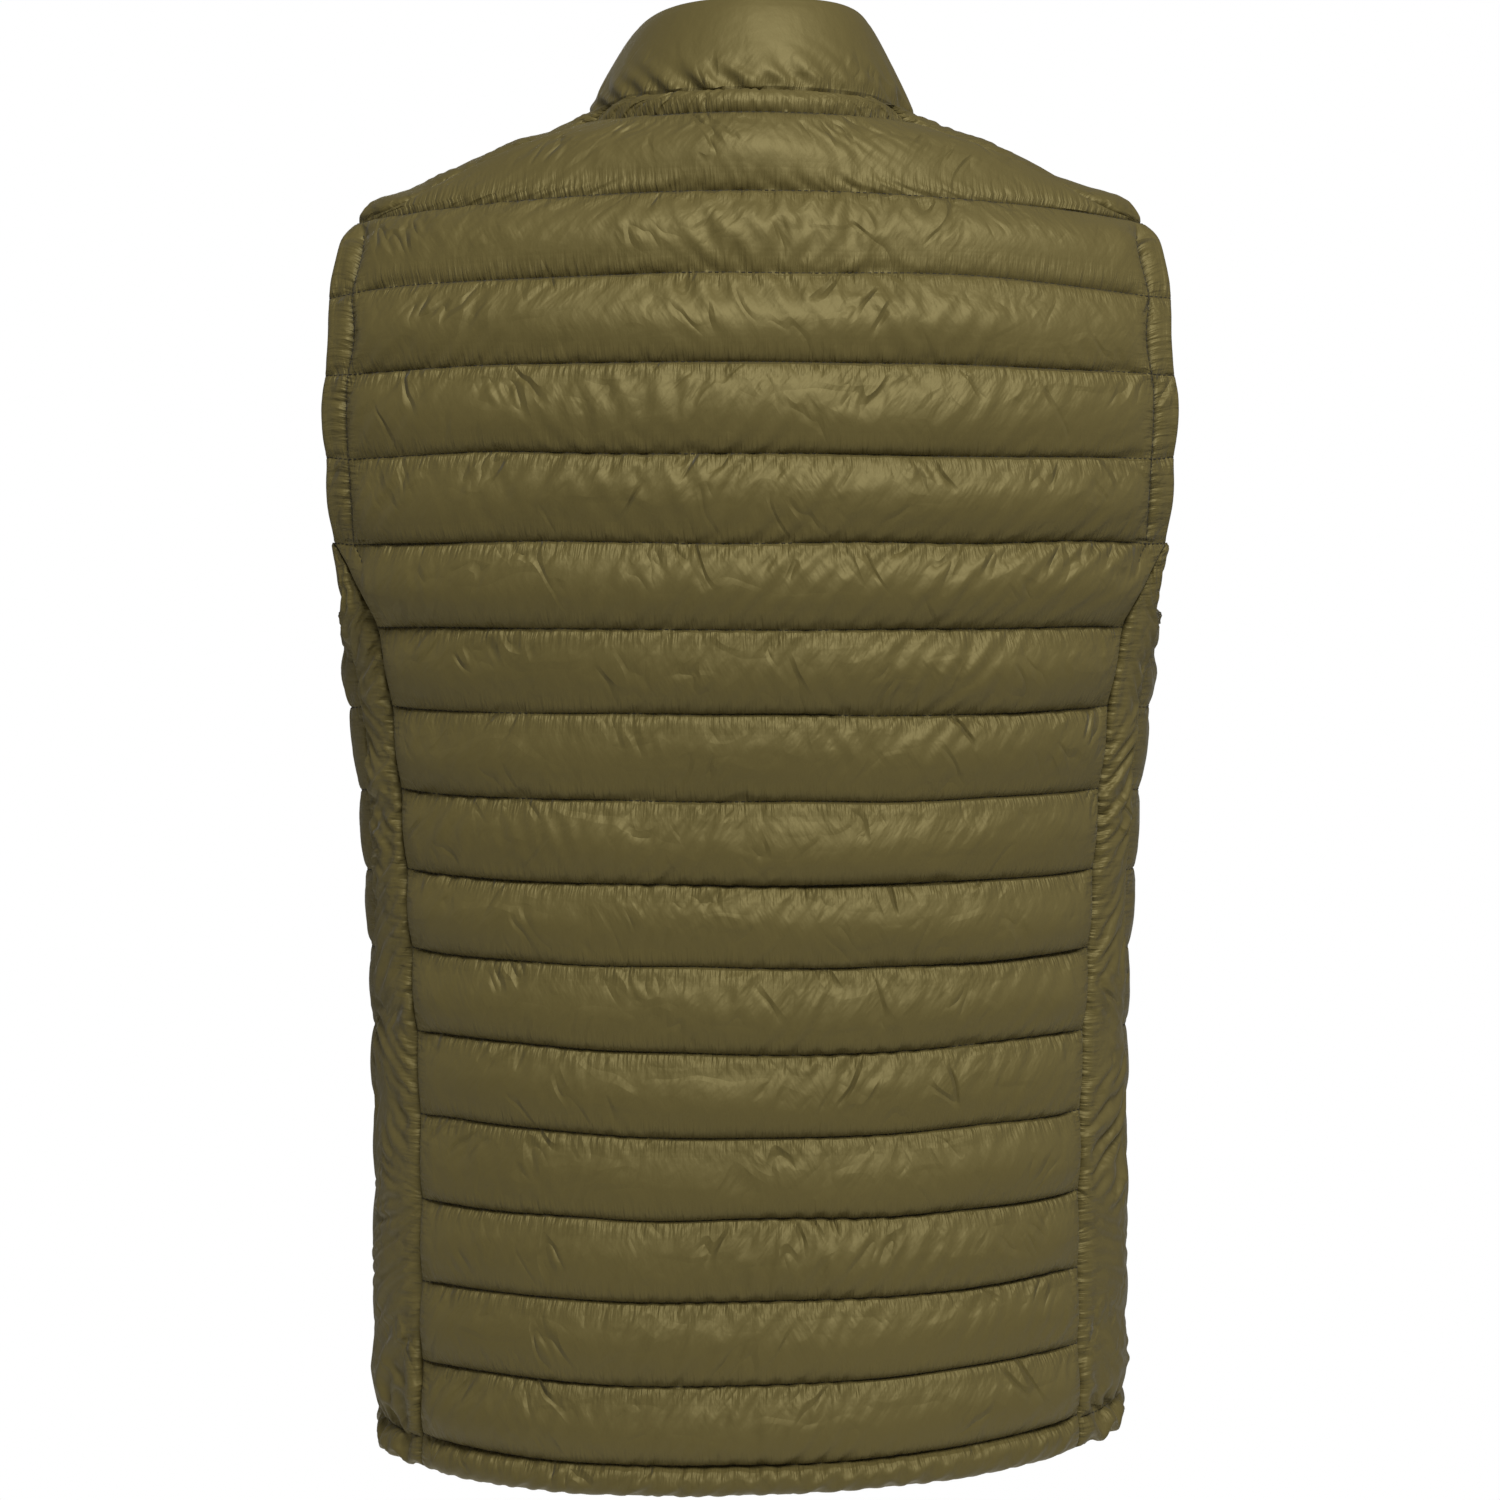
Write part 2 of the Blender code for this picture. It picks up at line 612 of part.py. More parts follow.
def add_zip_cloth():
    line = zip_line()
    tape = (line, zip_line(TAPE_FAR))
    bar("zip_tape_left", tape, TAPE_NEAR, TAPE_FAR, -0.0006, 0.0006 + TAPE_THICK)
    bar("zip_tape_right", tape, TAPE_NEAR, TAPE_FAR, -0.0006, 0.0006 + TAPE_THICK, -1.0)
    below = line[line[:, 1] < CHAIN_TOP - 0.001]
    end_y = np.interp(CHAIN_TOP, line[:, 1], line[:, 0])
    chain = np.concatenate([below, [(end_y, CHAIN_TOP)]])
    bar("zip_chain", (chain, chain), -CHAIN_HALF, CHAIN_HALF, CHAIN_OUT, CHAIN_IN)


def prism(name, profile, half, parent):
    """A side profile given as (out, up) from an empty, made as wide as 2 * half."""
    points = [(x, -out, up) for x in (-half, half) for out, up in profile]
    n = len(profile)
    faces = [(i, (i + 1) % n, n + (i + 1) % n, n + i) for i in range(n)]
    faces += [tuple(reversed(range(n))), tuple(range(n, 2 * n))]
    obj = add_mesh(name, points, faces)
    obj.parent = parent
    return obj


def united(obj, *others):
    for other in others:
        join = obj.modifiers.new("join", "BOOLEAN")
        join.operation, join.solver, join.object = "UNION", "EXACT", other
        other.hide_render = True
        other.hide_viewport = True


SLIDER_HALF = 0.0044
LOOP_UP, LOOP_OUT = 0.0010, 0.0062  # the pull's axle, above the slider's middle
AXLE = 0.0007
PULL_HALF, PULL_THICK = 0.0034, 0.0008


def slider_place():
    """Where the slider sits on the chain, and how far the zip leans there."""
    line = zip_line()
    middle = SLIDER_TOP - 0.0055
    low, y, high = np.interp((middle - 0.004, middle, middle + 0.004), line[:, 1], line[:, 0])
    return (float(y), middle), math.atan2(high - low, 0.008)


PLATE_LOW, PLATE_HIGH, PLATE_THICK = -0.0052, 0.0056, 0.0013
BRIDGE_LOW, BRIDGE_HALF, ARCH_HALF = 0.0030, 0.0022, 0.0010
# The arch that holds the pull, inside and outside, as (out, up) from the slider's middle.
ARCH_OUTSIDE = ((None, -0.0028), (0.0072, -0.0016), (0.0084, 0.0010), (0.0072, 0.0036), (None, 0.0046))
ARCH_INSIDE = ((None, 0.0034), (0.0066, 0.0025), (0.0073, 0.0010), (0.0066, -0.0005), (None, -0.0015))


def slab(near, far, low, high):
    """A rectangle as (out, up) corners."""
    return [(near, low), (far, low), (far, high), (near, high)]


def add_slider(seat):
    """Two plates joined by a bridge above the chain, and an arch that the pull hangs from."""
    out, back = CHAIN_OUT + 0.0004, CHAIN_IN + 0.0004
    deep = back + TAPE_THICK
    body = prism("zip_slider", slab(out, out + PLATE_THICK, PLATE_LOW, PLATE_HIGH), SLIDER_HALF, seat)
    behind = slab(-deep - 0.0012, -deep, PLATE_LOW, PLATE_HIGH)
    between = slab(-deep - 0.0005, out + 0.0005, BRIDGE_LOW, PLATE_HIGH)
    arch = [(out + 0.0008 if x is None else x, up) for x, up in ARCH_OUTSIDE + ARCH_INSIDE]
    united(
        body,
        prism("slider_bridge", between, BRIDGE_HALF, seat),
        prism("slider_back", behind, SLIDER_HALF, seat),
        prism("slider_arch", arch, ARCH_HALF, seat),
    )


def add_pull(hinge):
    """A flat tab with two arms, joined by a round axle through the slider's arch."""
    turn = [math.radians(36 * i) for i in range(10)]
    axle = [(AXLE * math.cos(a), AXLE * math.sin(a)) for a in turn]
    pull = prism("zip_pull", axle, PULL_HALF, hinge)
    arms = []
    for sign in (-1, 1):
        arm = prism(f"pull_arm_{sign}", slab(-PULL_THICK, PULL_THICK, -0.0082, 0.0012), PULL_THICK, hinge)
        arm.location.x = sign * (PULL_HALF - PULL_THICK)
        arms.append(arm)
    tab = slab(-PULL_THICK, PULL_THICK, -0.0300, -0.0070)
    united(pull, *arms, prism("pull_tab", tab, PULL_HALF, hinge))


# ------------------------------------------------------------------- the looks
OLIVE = (0.150, 0.126, 0.058)
LOOKS = (
    # piece, colour (linear), roughness, metallic
    ("back", OLIVE, 0.44, 0.0),
    ("front", OLIVE, 0.44, 0.0),
    ("side", (0.138, 0.115, 0.053), 0.46, 0.0),
    ("shoulder", OLIVE, 0.44, 0.0),
    ("collar", (0.165, 0.140, 0.066), 0.42, 0.0),
    ("zip_tape", (0.060, 0.052, 0.026), 0.80, 0.0),
    ("zip_chain", (0.040, 0.036, 0.022), 0.38, 0.0),
    ("zip_slider", (0.060, 0.056, 0.048), 0.35, 0.9),
    ("zip_pull", (0.060, 0.056, 0.048), 0.35, 0.9),
)


def paint_all():
    for obj in bpy.data.objects:
        if obj.type == "MESH" and not obj.hide_render:
            for piece, colour, roughness, metallic in LOOKS:
                if obj.name.startswith(piece):
                    paint(obj, colour, roughness, metallic)


def main():
    for obj in list(bpy.data.objects):
        bpy.data.objects.remove(obj)
    vest = empty("vest")
    add_back()
    add_sides()
    add_fronts()
    add_shoulders()
    add_collar()
    add_zip_cloth()
    for obj in [obj for obj in bpy.data.objects if obj.type == "MESH"]:
        place(obj, vest)
    (y, z), tilt = slider_place()
    seat = empty("slider_seat", vest, (0.0, y, z), -tilt)
    add_slider(seat)
    add_pull(empty("pull_hinge", seat, (0.0, -LOOP_OUT, LOOP_UP)))
    paint_all()


main()
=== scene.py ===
"""Looks of a quilted puffer vest, zipped shut, in the hollow shape it keeps when worn.

Metres, +Z up; the front faces -Y, the back +Y, and +X is the wearer's left. Each
cloth piece is a grid laid on the figure, raised over its wadding and then relaxed
as cloth that can't stretch, so that its spare length buckles into puckers.
"""

from __future__ import annotations

import logging
import math
from dataclasses import dataclass, field
from enum import Enum
from typing import Sequence

import bmesh
import bpy
import numpy as np
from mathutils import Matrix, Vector

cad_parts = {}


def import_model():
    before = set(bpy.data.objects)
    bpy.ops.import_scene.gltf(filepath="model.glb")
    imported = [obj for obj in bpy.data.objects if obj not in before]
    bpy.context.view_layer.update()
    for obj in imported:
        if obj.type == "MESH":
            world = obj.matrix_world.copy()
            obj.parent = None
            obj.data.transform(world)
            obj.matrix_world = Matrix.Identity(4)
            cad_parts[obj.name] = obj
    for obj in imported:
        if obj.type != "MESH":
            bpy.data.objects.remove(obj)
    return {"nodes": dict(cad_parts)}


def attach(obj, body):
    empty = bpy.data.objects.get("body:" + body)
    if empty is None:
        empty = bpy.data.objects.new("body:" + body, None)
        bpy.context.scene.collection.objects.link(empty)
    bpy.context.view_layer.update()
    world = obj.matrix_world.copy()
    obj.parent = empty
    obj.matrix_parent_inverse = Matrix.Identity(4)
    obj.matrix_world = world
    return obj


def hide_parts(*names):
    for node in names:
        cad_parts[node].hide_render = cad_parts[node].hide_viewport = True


log = logging.getLogger("vest")
Array = np.ndarray
Table = Sequence[tuple[float, float]]

# ------------------------------------------------------------------ sizes (m)
HEM_EDGE = -0.685
# The quilting lines at the centre of the back, from the hem's seam to the shoulders.
LINE_Z = (
    -0.6690, -0.6285, -0.5876, -0.5465, -0.5042, -0.4625, -0.4198, -0.3776,
    -0.3345, -0.2907, -0.2480, -0.2050, -0.1611, -0.1159, -0.0702, -0.0290,
)
HEM_SEAM = LINE_Z[0]
TIP = LINE_Z[11]  # the point of each side piece
ARM_LOW = -0.2460  # the bottom of the armhole
NECK_LINE, NECK_TOP = 0.0120, 0.0246
FRONT_TOP = 0.0130
SHOULDER_LOW, SHOULDER_HIGH = -0.0385, 0.0225
WALL = 0.0025  # cloth and wadding where they are stitched flat
STITCHED = 0.0015  # the same right on a line, where the thread bites in
PUFF = 0.0080  # how much a channel rises above its lines
HEM_PUFF = 0.0062  # the hem's band
STRIP_PUFF = 0.0066  # the strips on the shoulders
SIDE_PUFF = 0.0064  # the pieces under the arms
ROUND_SIDE, ROUND_HEM, ROUND_TOP = 0.0026, 0.0045, 0.0022  # how cloth rounds over at its edges
SEAM_GAP = -0.0002  # under 0: neighbours overlap a little at a seam, so that no light shows through
ZIP_EDGE = 0.0062  # from the middle to the fronts' edges
RIDGE_Y, RIDGE_Z = 0.0060, -0.0315  # where the front's shoulder seam starts at the armhole
NECK_LOW = -0.0479  # the lowest point of the neck, at the zip
BAND = 0.0170  # from the armhole's edge to the line stitched along it
STITCH_PITCH, STITCH_LONG, THREAD_RADIUS = 0.0033, 0.0026, 0.00026

FIGURE = (
    # z, half_width, back_depth, front_depth, squareness
    (-0.690, 0.1945, 0.1215, 0.1130, 2.05),
    (-0.667, 0.1956, 0.1210, 0.1135, 2.05),
    (-0.600, 0.1968, 0.1180, 0.1150, 2.05),
    (-0.520, 0.1958, 0.1130, 0.1170, 2.05),
    (-0.450, 0.1960, 0.1095, 0.1190, 2.05),
    (-0.380, 0.1990, 0.1085, 0.1215, 2.05),
    (-0.320, 0.2035, 0.1110, 0.1245, 2.05),
    (-0.270, 0.2112, 0.1155, 0.1270, 2.05),
    (-0.240, 0.2205, 0.1185, 0.1280, 2.05),
    (-0.2035, 0.2340, 0.1200, 0.1275, 2.00),
    (-0.160, 0.2455, 0.1200, 0.1250, 1.95),
    (-0.120, 0.2490, 0.1170, 0.1200, 1.90),
    (-0.080, 0.2420, 0.1090, 0.1115, 1.85),
    (-0.060, 0.2300, 0.1030, 0.1055, 1.80),
    (-0.045, 0.2160, 0.0980, 0.1005, 1.75),
    (-0.0315, 0.2003, 0.0930, 0.0955, 1.70),
    (-0.0227, 0.1725, 0.0900, 0.0925, 1.70),
    (-0.0094, 0.1395, 0.0850, 0.0875, 1.72),
    (0.0039, 0.1075, 0.0790, 0.0825, 1.76),
    (0.0097, 0.0920, 0.0765, 0.0800, 1.80),
    (0.0155, 0.0828, 0.0740, 0.0770, 1.85),
    (0.0209, 0.0785, 0.0710, 0.0730, 1.92),
    (0.0264, 0.0775, 0.0680, 0.0700, 2.00),
)
# How far the ends of a line hang below its middle, at x = 0.2: z, sag.
SAG = (
    (HEM_EDGE, 0.0), (HEM_SEAM, -0.003), (-0.6285, -0.003), (-0.547, -0.0045), (-0.4625, -0.006),
    (-0.42, -0.0065), (-0.335, -0.003), (-0.29, -0.002), (-0.25, 0.0), (TIP, 0.0), (-0.161, 0.0),
    (-0.116, 0.003), (-0.070, 0.008), (-0.029, 0.010), (0.012, 0.006), (NECK_TOP, 0.0),
)
# Seams and edges: z, then where the line lies on the section at that height.
BACK_SEAM_X = (
    (-0.690, 0.1698), (-0.546, 0.1700), (-0.459, 0.1724), (-0.415, 0.1750), (-0.334, 0.1800),
    (-0.294, 0.1838), (-0.246, 0.1920), (-0.2225, 0.2035), (TIP, 0.2145),
)
ARMHOLE_BACK_X = (
    (TIP, 0.2145), (-0.170, 0.2172), (-0.130, 0.2190), (-0.100, 0.2155), (-0.080, 0.2170),
    (-0.060, 0.2130), (-0.050, 0.2115), (-0.042, 0.2080), (SHOULDER_LOW, 0.2042),
)
SHOULDER_SEAM_X = (
    (SHOULDER_LOW, 0.2042), (-0.0344, 0.1880), (-0.0227, 0.1580), (-0.0094, 0.1260),
    (-0.0011, 0.1060), (0.0120, 0.0800), (0.0185, 0.0705), (NECK_TOP, 0.0600),
)
SIDE_SEAM_Y = (
    (-0.690, 0.0080), (-0.550, 0.0080), (-0.450, 0.0140), (-0.370, 0.0240), (-0.300, 0.0300),
    (ARM_LOW, 0.0330),
)
ARMHOLE_LOW_Y = (
    (ARM_LOW, 0.0330), (-0.2400, 0.0385), (-0.2300, 0.0420), (-0.2180, 0.0442), (TIP, 0.0450),
)
ARMHOLE_FRONT_Y = (
    (ARM_LOW, 0.0330), (-0.2445, 0.0080), (-0.2415, -0.0120), (-0.2360, -0.0320), (-0.2260, -0.0480),
    (-0.2000, -0.0610), (-0.1600, -0.0650), (-0.1200, -0.0630), (-0.0800, -0.0550), (-0.0560, -0.0430),
    (-0.0435, -0.0290), (-0.0380, -0.0180), (-0.0350, -0.0090), (RIDGE_Z, RIDGE_Y),
)
STRIP_FRONT_Y = (
    (SHOULDER_LOW, 0.0150), (-0.0350, 0.0110), (RIDGE_Z, RIDGE_Y), (0.0145, RIDGE_Y), (0.0190, 0.0190),
    (SHOULDER_HIGH, 0.0320),
)
NECK_FRONT_X = (
    (NECK_LOW, ZIP_EDGE), (-0.0435, 0.0300), (-0.0380, 0.0455), (-0.0350, 0.0510), (-0.0315, 0.0565),
    (-0.0265, 0.0615), (-0.0195, 0.0665), (-0.0085, 0.0730), (0.0025, 0.0790), (0.0105, 0.0825),
    (FRONT_TOP, 0.0835),
)


def monotone(table: Table, at: Array | float) -> Array:
    """The table's curve without overshoot: a cubic whose slope at each knot is a harmonic mean.

    Args:
        table: (x, y) knots in rising x.
        at: where the curve is wanted; it stays level past the ends.

    Returns:
        The curve's values there.
    """
    x, y = np.array(table, float).T
    step = np.diff(x)
    climb = np.diff(y) / step
    before, after = climb[:-1], climb[1:]
    a, b = 2 * step[1:] + step[:-1], step[1:] + 2 * step[:-1]
    same = before * after > 0
    safe = np.where(same, a / np.where(same, before, 1) + b / np.where(same, after, 1), 1)
    slope = np.concatenate([climb[:1], np.where(same, (a + b) / safe, 0), climb[-1:]])
    at = np.clip(at, x[0], x[-1])
    i = np.clip(np.searchsorted(x, at) - 1, 0, len(step) - 1)
    t = (at - x[i]) / step[i]
    return (
        y[i] * (1 + 2 * t) * (1 - t) ** 2
        + slope[i] * step[i] * t * (1 - t) ** 2
        + y[i + 1] * t * t * (3 - 2 * t)
        + slope[i + 1] * step[i] * t * t * (t - 1)
    )


def polyline(table: Table, at: Array | float) -> Array:
    """Straight lines between the table's knots."""
    x, y = np.array(table, float).T
    return np.interp(at, x, y)


def lengths(line: Array) -> Array:
    """How far along a line each of its points is, from 0 at the first."""
    return np.concatenate([[0], np.cumsum(np.linalg.norm(np.diff(line, axis=0), axis=1))])


def sampled(values: Array, along: Array, at: Array) -> Array:
    """The columns of the values, known at the lengths `along`, at the lengths `at`."""
    return np.stack([np.interp(at, along, column) for column in values.T], 1)


def ease(x: Array) -> Array:
    """Smooth step from 0 to 1."""
    t = np.clip(x, 0, 1)
    return t * t * (3 - 2 * t)


def rounded(distance: Array, radius: float) -> Array:
    """A quarter circle's height over its radius: sqrt(1 - (1 - d / r)^2), 1 past the radius."""
    return np.sqrt(np.clip(1 - (1 - np.clip(distance / radius, 0, 1)) ** 2, 0, 1))


def cloudy(shape: tuple[int, int], rows: float, columns: float, seed: int) -> Array:
    """Smooth random field of unit spread: white noise blurred by a Gaussian in frequency.

    Args:
        shape: rows and columns of the field.
        rows: blur along the rows' direction, in cells.
        columns: blur across, in cells.
        seed: of the random draw.

    Returns:
        The field.
    """
    white = np.random.default_rng(seed).standard_normal(shape)
    fr = np.fft.fftfreq(shape[0])[:, None]
    fc = np.fft.rfftfreq(shape[1])[None, :]
    blur = np.exp(-2 * (math.pi**2) * ((fr * rows) ** 2 + (fc * columns) ** 2))
    soft = np.fft.irfft2(np.fft.rfft2(white) * blur, shape)
    return soft / max(float(soft.std()), 1e-9)


def unit(v: Array) -> Array:
    """Vectors scaled to length 1."""
    return v / np.maximum(np.linalg.norm(v, axis=-1, keepdims=True), 1e-12)


# ----------------------------------------------------------------- the figure
class Side(Enum):
    """Which half of the vest a piece belongs to."""

    LEFT = 1.0
    RIGHT = -1.0


@dataclass(frozen=True)
class Figure:
    """The form inside the cloth: sections |x/w|^n + |y/d|^n = 1 stacked along z."""

    table: tuple[tuple[float, ...], ...] = FIGURE

    def section(self, z: Array) -> list[Array]:
        """Half width, back depth, front depth and squareness at these heights."""
        return [monotone([(row[0], row[i]) for row in self.table], z) for i in range(1, 5)]

    def at(self, angle: Array, z: Array) -> Array:
        """Points on the figure: x = w cos^(2/n), y = d sin^(2/n).

        Args:
            angle: round the body from +X, towards the back.
            z: their heights.

        Returns:
            The points, with x, y, z last.
        """
        width, back, front, n = self.section(z)
        c, s = np.cos(angle), np.sin(angle)
        x = width * np.sign(c) * np.abs(c) ** (2 / n)
        y = np.where(s > 0, back, front) * np.sign(s) * np.abs(s) ** (2 / n)
        return np.stack([x, y, np.broadcast_to(z, x.shape)], -1)

    def level(self, p: Array) -> Array:
        """The section's sum |x/w|^n + |y/d|^n, which is 1 on the figure.

        Args:
            p: points.

        Returns:
            The sum at each.
        """
        width, back, front, n = self.section(p[..., 2])
        depth = np.where(p[..., 1] > 0, back, front)
        return np.abs(p[..., 0] / width) ** n + np.abs(p[..., 1] / depth) ** n

    def outward(self, p: Array, step: float = 2e-4) -> Array:
        """Unit normals: the gradient of the section's sum, by central differences.

        Args:
            p: points.
            step: how far to each side the sum is taken.

        Returns:
            The normals.
        """
        slopes = [self.level(p + step * axis) - self.level(p - step * axis) for axis in np.eye(3)]
        return unit(np.stack(slopes, -1))

    def angle_at_x(self, x: Array, z: Array) -> Array:
        """The back angle at which the section reaches this x; its negative is the front's."""
        width, _, _, n = self.section(z)
        return np.arccos(np.clip(x / width, 0, 1) ** (n / 2))

    def angle_at_y(self, y: Array, z: Array) -> Array:
        """The left side's angle at which the section reaches this y.

        Args:
            y: positive towards the back.
            z: the section's height.

        Returns:
            The angle, negative in front.
        """
        _, back, front, n = self.section(z)
        depth = np.where(y > 0, back, front)
        return np.sign(y) * np.arcsin(np.clip(np.abs(y) / depth, 0, 1) ** (n / 2))


BODY = Figure()
HEM_LEAN, HEM_LIFT = 0.0050, 0.0050  # how far the hem tilts at x = 0.17, and its sides rise


def lean(x: Array, z: Array) -> Array:
    """How the lower vest hangs askew: lower on its left, and raised towards both sides.

    Args:
        x: across the body.
        z: the row's height.

    Returns:
        What is added to z.
    """
    low = ease((-0.43 - z) / 0.25)
    edge = ease((-0.60 - z) / 0.08)
    return -HEM_LEAN * low * x / 0.17 + HEM_LIFT * edge * (np.abs(x) / 0.19) ** 4


# ------------------------------------------------------------------ the cloth
@dataclass
class Sheet:
    """A grid of cloth: where it lies on the figure and how far it should stand off."""

    base: Array  # rows x columns x 3
    normal: Array
    rise: Array  # rows x columns, the wadding's height
    pinned: Array  # rows x columns, True where it is sewn down
    spare_u: Array  # spare length along the rows, as a share
    spare_v: Array  # and along the columns
    slant: Array  # shear that turns the puckers askew


@dataclass
class Link:
    """Distances between pairs of points, grouped so that no point is in two of them."""

    one: tuple[slice, slice]
    two: tuple[slice, slice]
    rest: Array
    pull: float  # share of a stretch that each step takes back
    push: float  # share of a squeeze that each step takes back


@dataclass
class Relaxer:
    """Settles cloth that resists stretch, gives a little in bending, and lies on its wadding."""

    steps: int = 260
    fill: float = 0.010  # pull towards the wadding's height in each step
    stiff_near: float = 0.5  # bending, over two cells
    stiff_far: float = 0.5  # bending, over four cells
    crush: float = 0.8  # how well the cloth resists being pushed together
    floor: float = 0.0004  # the least height over the inner face

    def links(self, sheet: Sheet, start: Array) -> list[Link]:
        """Every distance that the cloth tries to keep.

        Along rows and columns it is length * (1 + spare). On the diagonals its square is
        length^2 +- 2 a b slant. Over two and four cells it is the sum of what it spans, but
        across stitching, which is a hinge, it is the distance at the start.

        Args:
            sheet: the cloth.
            start: its points before they settle.

        Returns:
            The groups, in the order in which a step corrects them.
        """
        rows, columns = sheet.rise.shape
        across = np.linalg.norm(start[:, 1:] - start[:, :-1], axis=-1)
        across = across * (1 + (sheet.spare_u[:, 1:] + sheet.spare_u[:, :-1]) / 2)
        up = np.linalg.norm(start[1:] - start[:-1], axis=-1)
        up = up * (1 + (sheet.spare_v[1:] + sheet.spare_v[:-1]) / 2)
        a, b = (across[1:] + across[:-1]) / 2, (up[:, 1:] + up[:, :-1]) / 2
        shear = 2 * a * b * (sheet.slant[1:, 1:] + sheet.slant[:-1, :-1]) / 2
        grown = 1 + (sheet.spare_u[1:, 1:] + sheet.spare_v[1:, 1:]) / 2
        rising = np.linalg.norm(start[1:, 1:] - start[:-1, :-1], axis=-1) * grown
        falling = np.linalg.norm(start[1:, :-1] - start[:-1, 1:], axis=-1) * grown
        rising = np.sqrt(rising**2 + shear)
        falling = np.sqrt(np.maximum(falling**2 - shear, 1e-10))
        near_u, near_v = across[:, 1:] + across[:, :-1], up[1:] + up[:-1]
        far_u = near_u[:, 2:] + near_u[:, :-2]
        sewn = sheet.pinned
        near_v = np.where(sewn[1:-1], np.linalg.norm(start[2:] - start[:-2], axis=-1), near_v)
        near_u = np.where(sewn[:, 1:-1], np.linalg.norm(start[:, 2:] - start[:, :-2], axis=-1), near_u)
        hinge = sewn[:, 1:-3] | sewn[:, 2:-2] | sewn[:, 3:-1]
        far_u = np.where(hinge, np.linalg.norm(start[:, 4:] - start[:, :-4], axis=-1), far_u)
        links: list[Link] = []
        whole, half = slice(None), 0.5 * self.crush
        for k in range(8):
            one, two = slice(k, columns - 4, 8), slice(k + 4, columns, 8)
            links.append(Link((whole, one), (whole, two), far_u[:, k::8], 0.0, self.stiff_far))
        for k in range(4):
            one, two = slice(k, columns - 2, 4), slice(k + 2, columns, 4)
            links.append(Link((whole, one), (whole, two), near_u[:, k::4], 0.0, self.stiff_near))
            one, two = slice(k, rows - 2, 4), slice(k + 2, rows, 4)
            links.append(Link((one, whole), (two, whole), near_v[k::4], 0.0, self.stiff_near))
        for k in range(2):
            low, high = slice(k, rows - 1, 2), slice(k + 1, rows, 2)
            links.append(Link((low, slice(0, -1)), (high, slice(1, None)), rising[k::2], 0.5, half))
            links.append(Link((low, slice(1, None)), (high, slice(0, -1)), falling[k::2], 0.5, half))
        for k in range(2):
            one, two = slice(k, columns - 1, 2), slice(k + 1, columns, 2)
            links.append(Link((whole, one), (whole, two), across[:, k::2], 1.0, self.crush))
            one, two = slice(k, rows - 1, 2), slice(k + 1, rows, 2)
            links.append(Link((one, whole), (two, whole), up[k::2], 1.0, self.crush))
        return links

    def settle(self, sheet: Sheet, seed: int, roughness: float = 0.0006) -> Array:
        """Moves the grid until its distances agree with its links.

        The two ends of a link share its correction. Each group of links is one array operation.

        Args:
            sheet: the cloth.
            seed: of the first unevenness, from which the puckers grow.
            roughness: its size.

        Returns:
            The settled points, rows x columns x 3.
        """
        start = sheet.base + sheet.normal * sheet.rise[..., None]
        free = (~sheet.pinned).astype(np.float32)
        shape = sheet.rise.shape
        seedling = 0.6 * cloudy(shape, 2.5, 2.5, seed) + 0.8 * cloudy(shape, 6, 5, seed + 1)
        p = (start + sheet.normal * (roughness * seedling * free)[..., None]).astype(np.float32)
        base, normal = sheet.base.astype(np.float32), sheet.normal.astype(np.float32)
        rise = sheet.rise.astype(np.float32)
        ready = []
        for link in self.links(sheet, start):
            free_one, free_two = free[link.one], free[link.two]
            share = 1 / (free_one + free_two + 1e-6)
            ready.append((link, link.rest.astype(np.float32), free_one, free_two, share))
        for _ in range(self.steps):
            height = ((p - base) * normal).sum(-1)
            p += normal * ((rise - height) * self.fill * free)[..., None]
            for link, rest, free_one, free_two, share in ready:
                way = p[link.two] - p[link.one]
                length = np.sqrt((way * way).sum(-1)) + 1e-9
                error = length - rest
                size = np.where(error > 0, link.pull, link.push) * error / length * share
                p[link.one] += way * (size * free_one)[..., None]
                p[link.two] -= way * (size * free_two)[..., None]
            height = ((p - base) * normal).sum(-1)
            p += normal * (np.maximum(self.floor - height, 0) * free)[..., None]
        return self.smoothed(p.astype(float), free)

    @staticmethod
    def smoothed(p: Array, free: Array, passes: int = 2) -> Array:
        """Moves free points 0.45 of the way to the mean of their neighbours in each pass.

        Args:
            p: the points.
            free: 1 where a point may move; the rows beside stitching stay too.
            passes: how often.

        Returns:
            The smoothed points.
        """
        calm = free.copy()
        calm[1:] *= free[:-1]
        calm[:-1] *= free[1:]
        for _ in range(passes):
            q = np.pad(p, ((1, 1), (1, 1), (0, 0)), mode="edge")
            mean = (q[2:, 1:-1] + q[:-2, 1:-1] + q[1:-1, 2:] + q[1:-1, :-2]) / 4
            p = p + (mean - p) * (0.45 * calm)[..., None]
        return p


# ------------------------------------------------------------------ the meshes
def hex_colour(text: str) -> tuple[float, float, float, float]:
    """An sRGB hex value as linear light.

    Args:
        text: a hash and six hex digits.

    Returns:
        Red, green, blue and alpha.
    """
    parts = [int(text[i : i + 2], 16) / 255 for i in (1, 3, 5)]
    red, green, blue = (c / 12.92 if c <= 0.04045 else ((c + 0.055) / 1.055) ** 2.4 for c in parts)
    return (red, green, blue, 1.0)


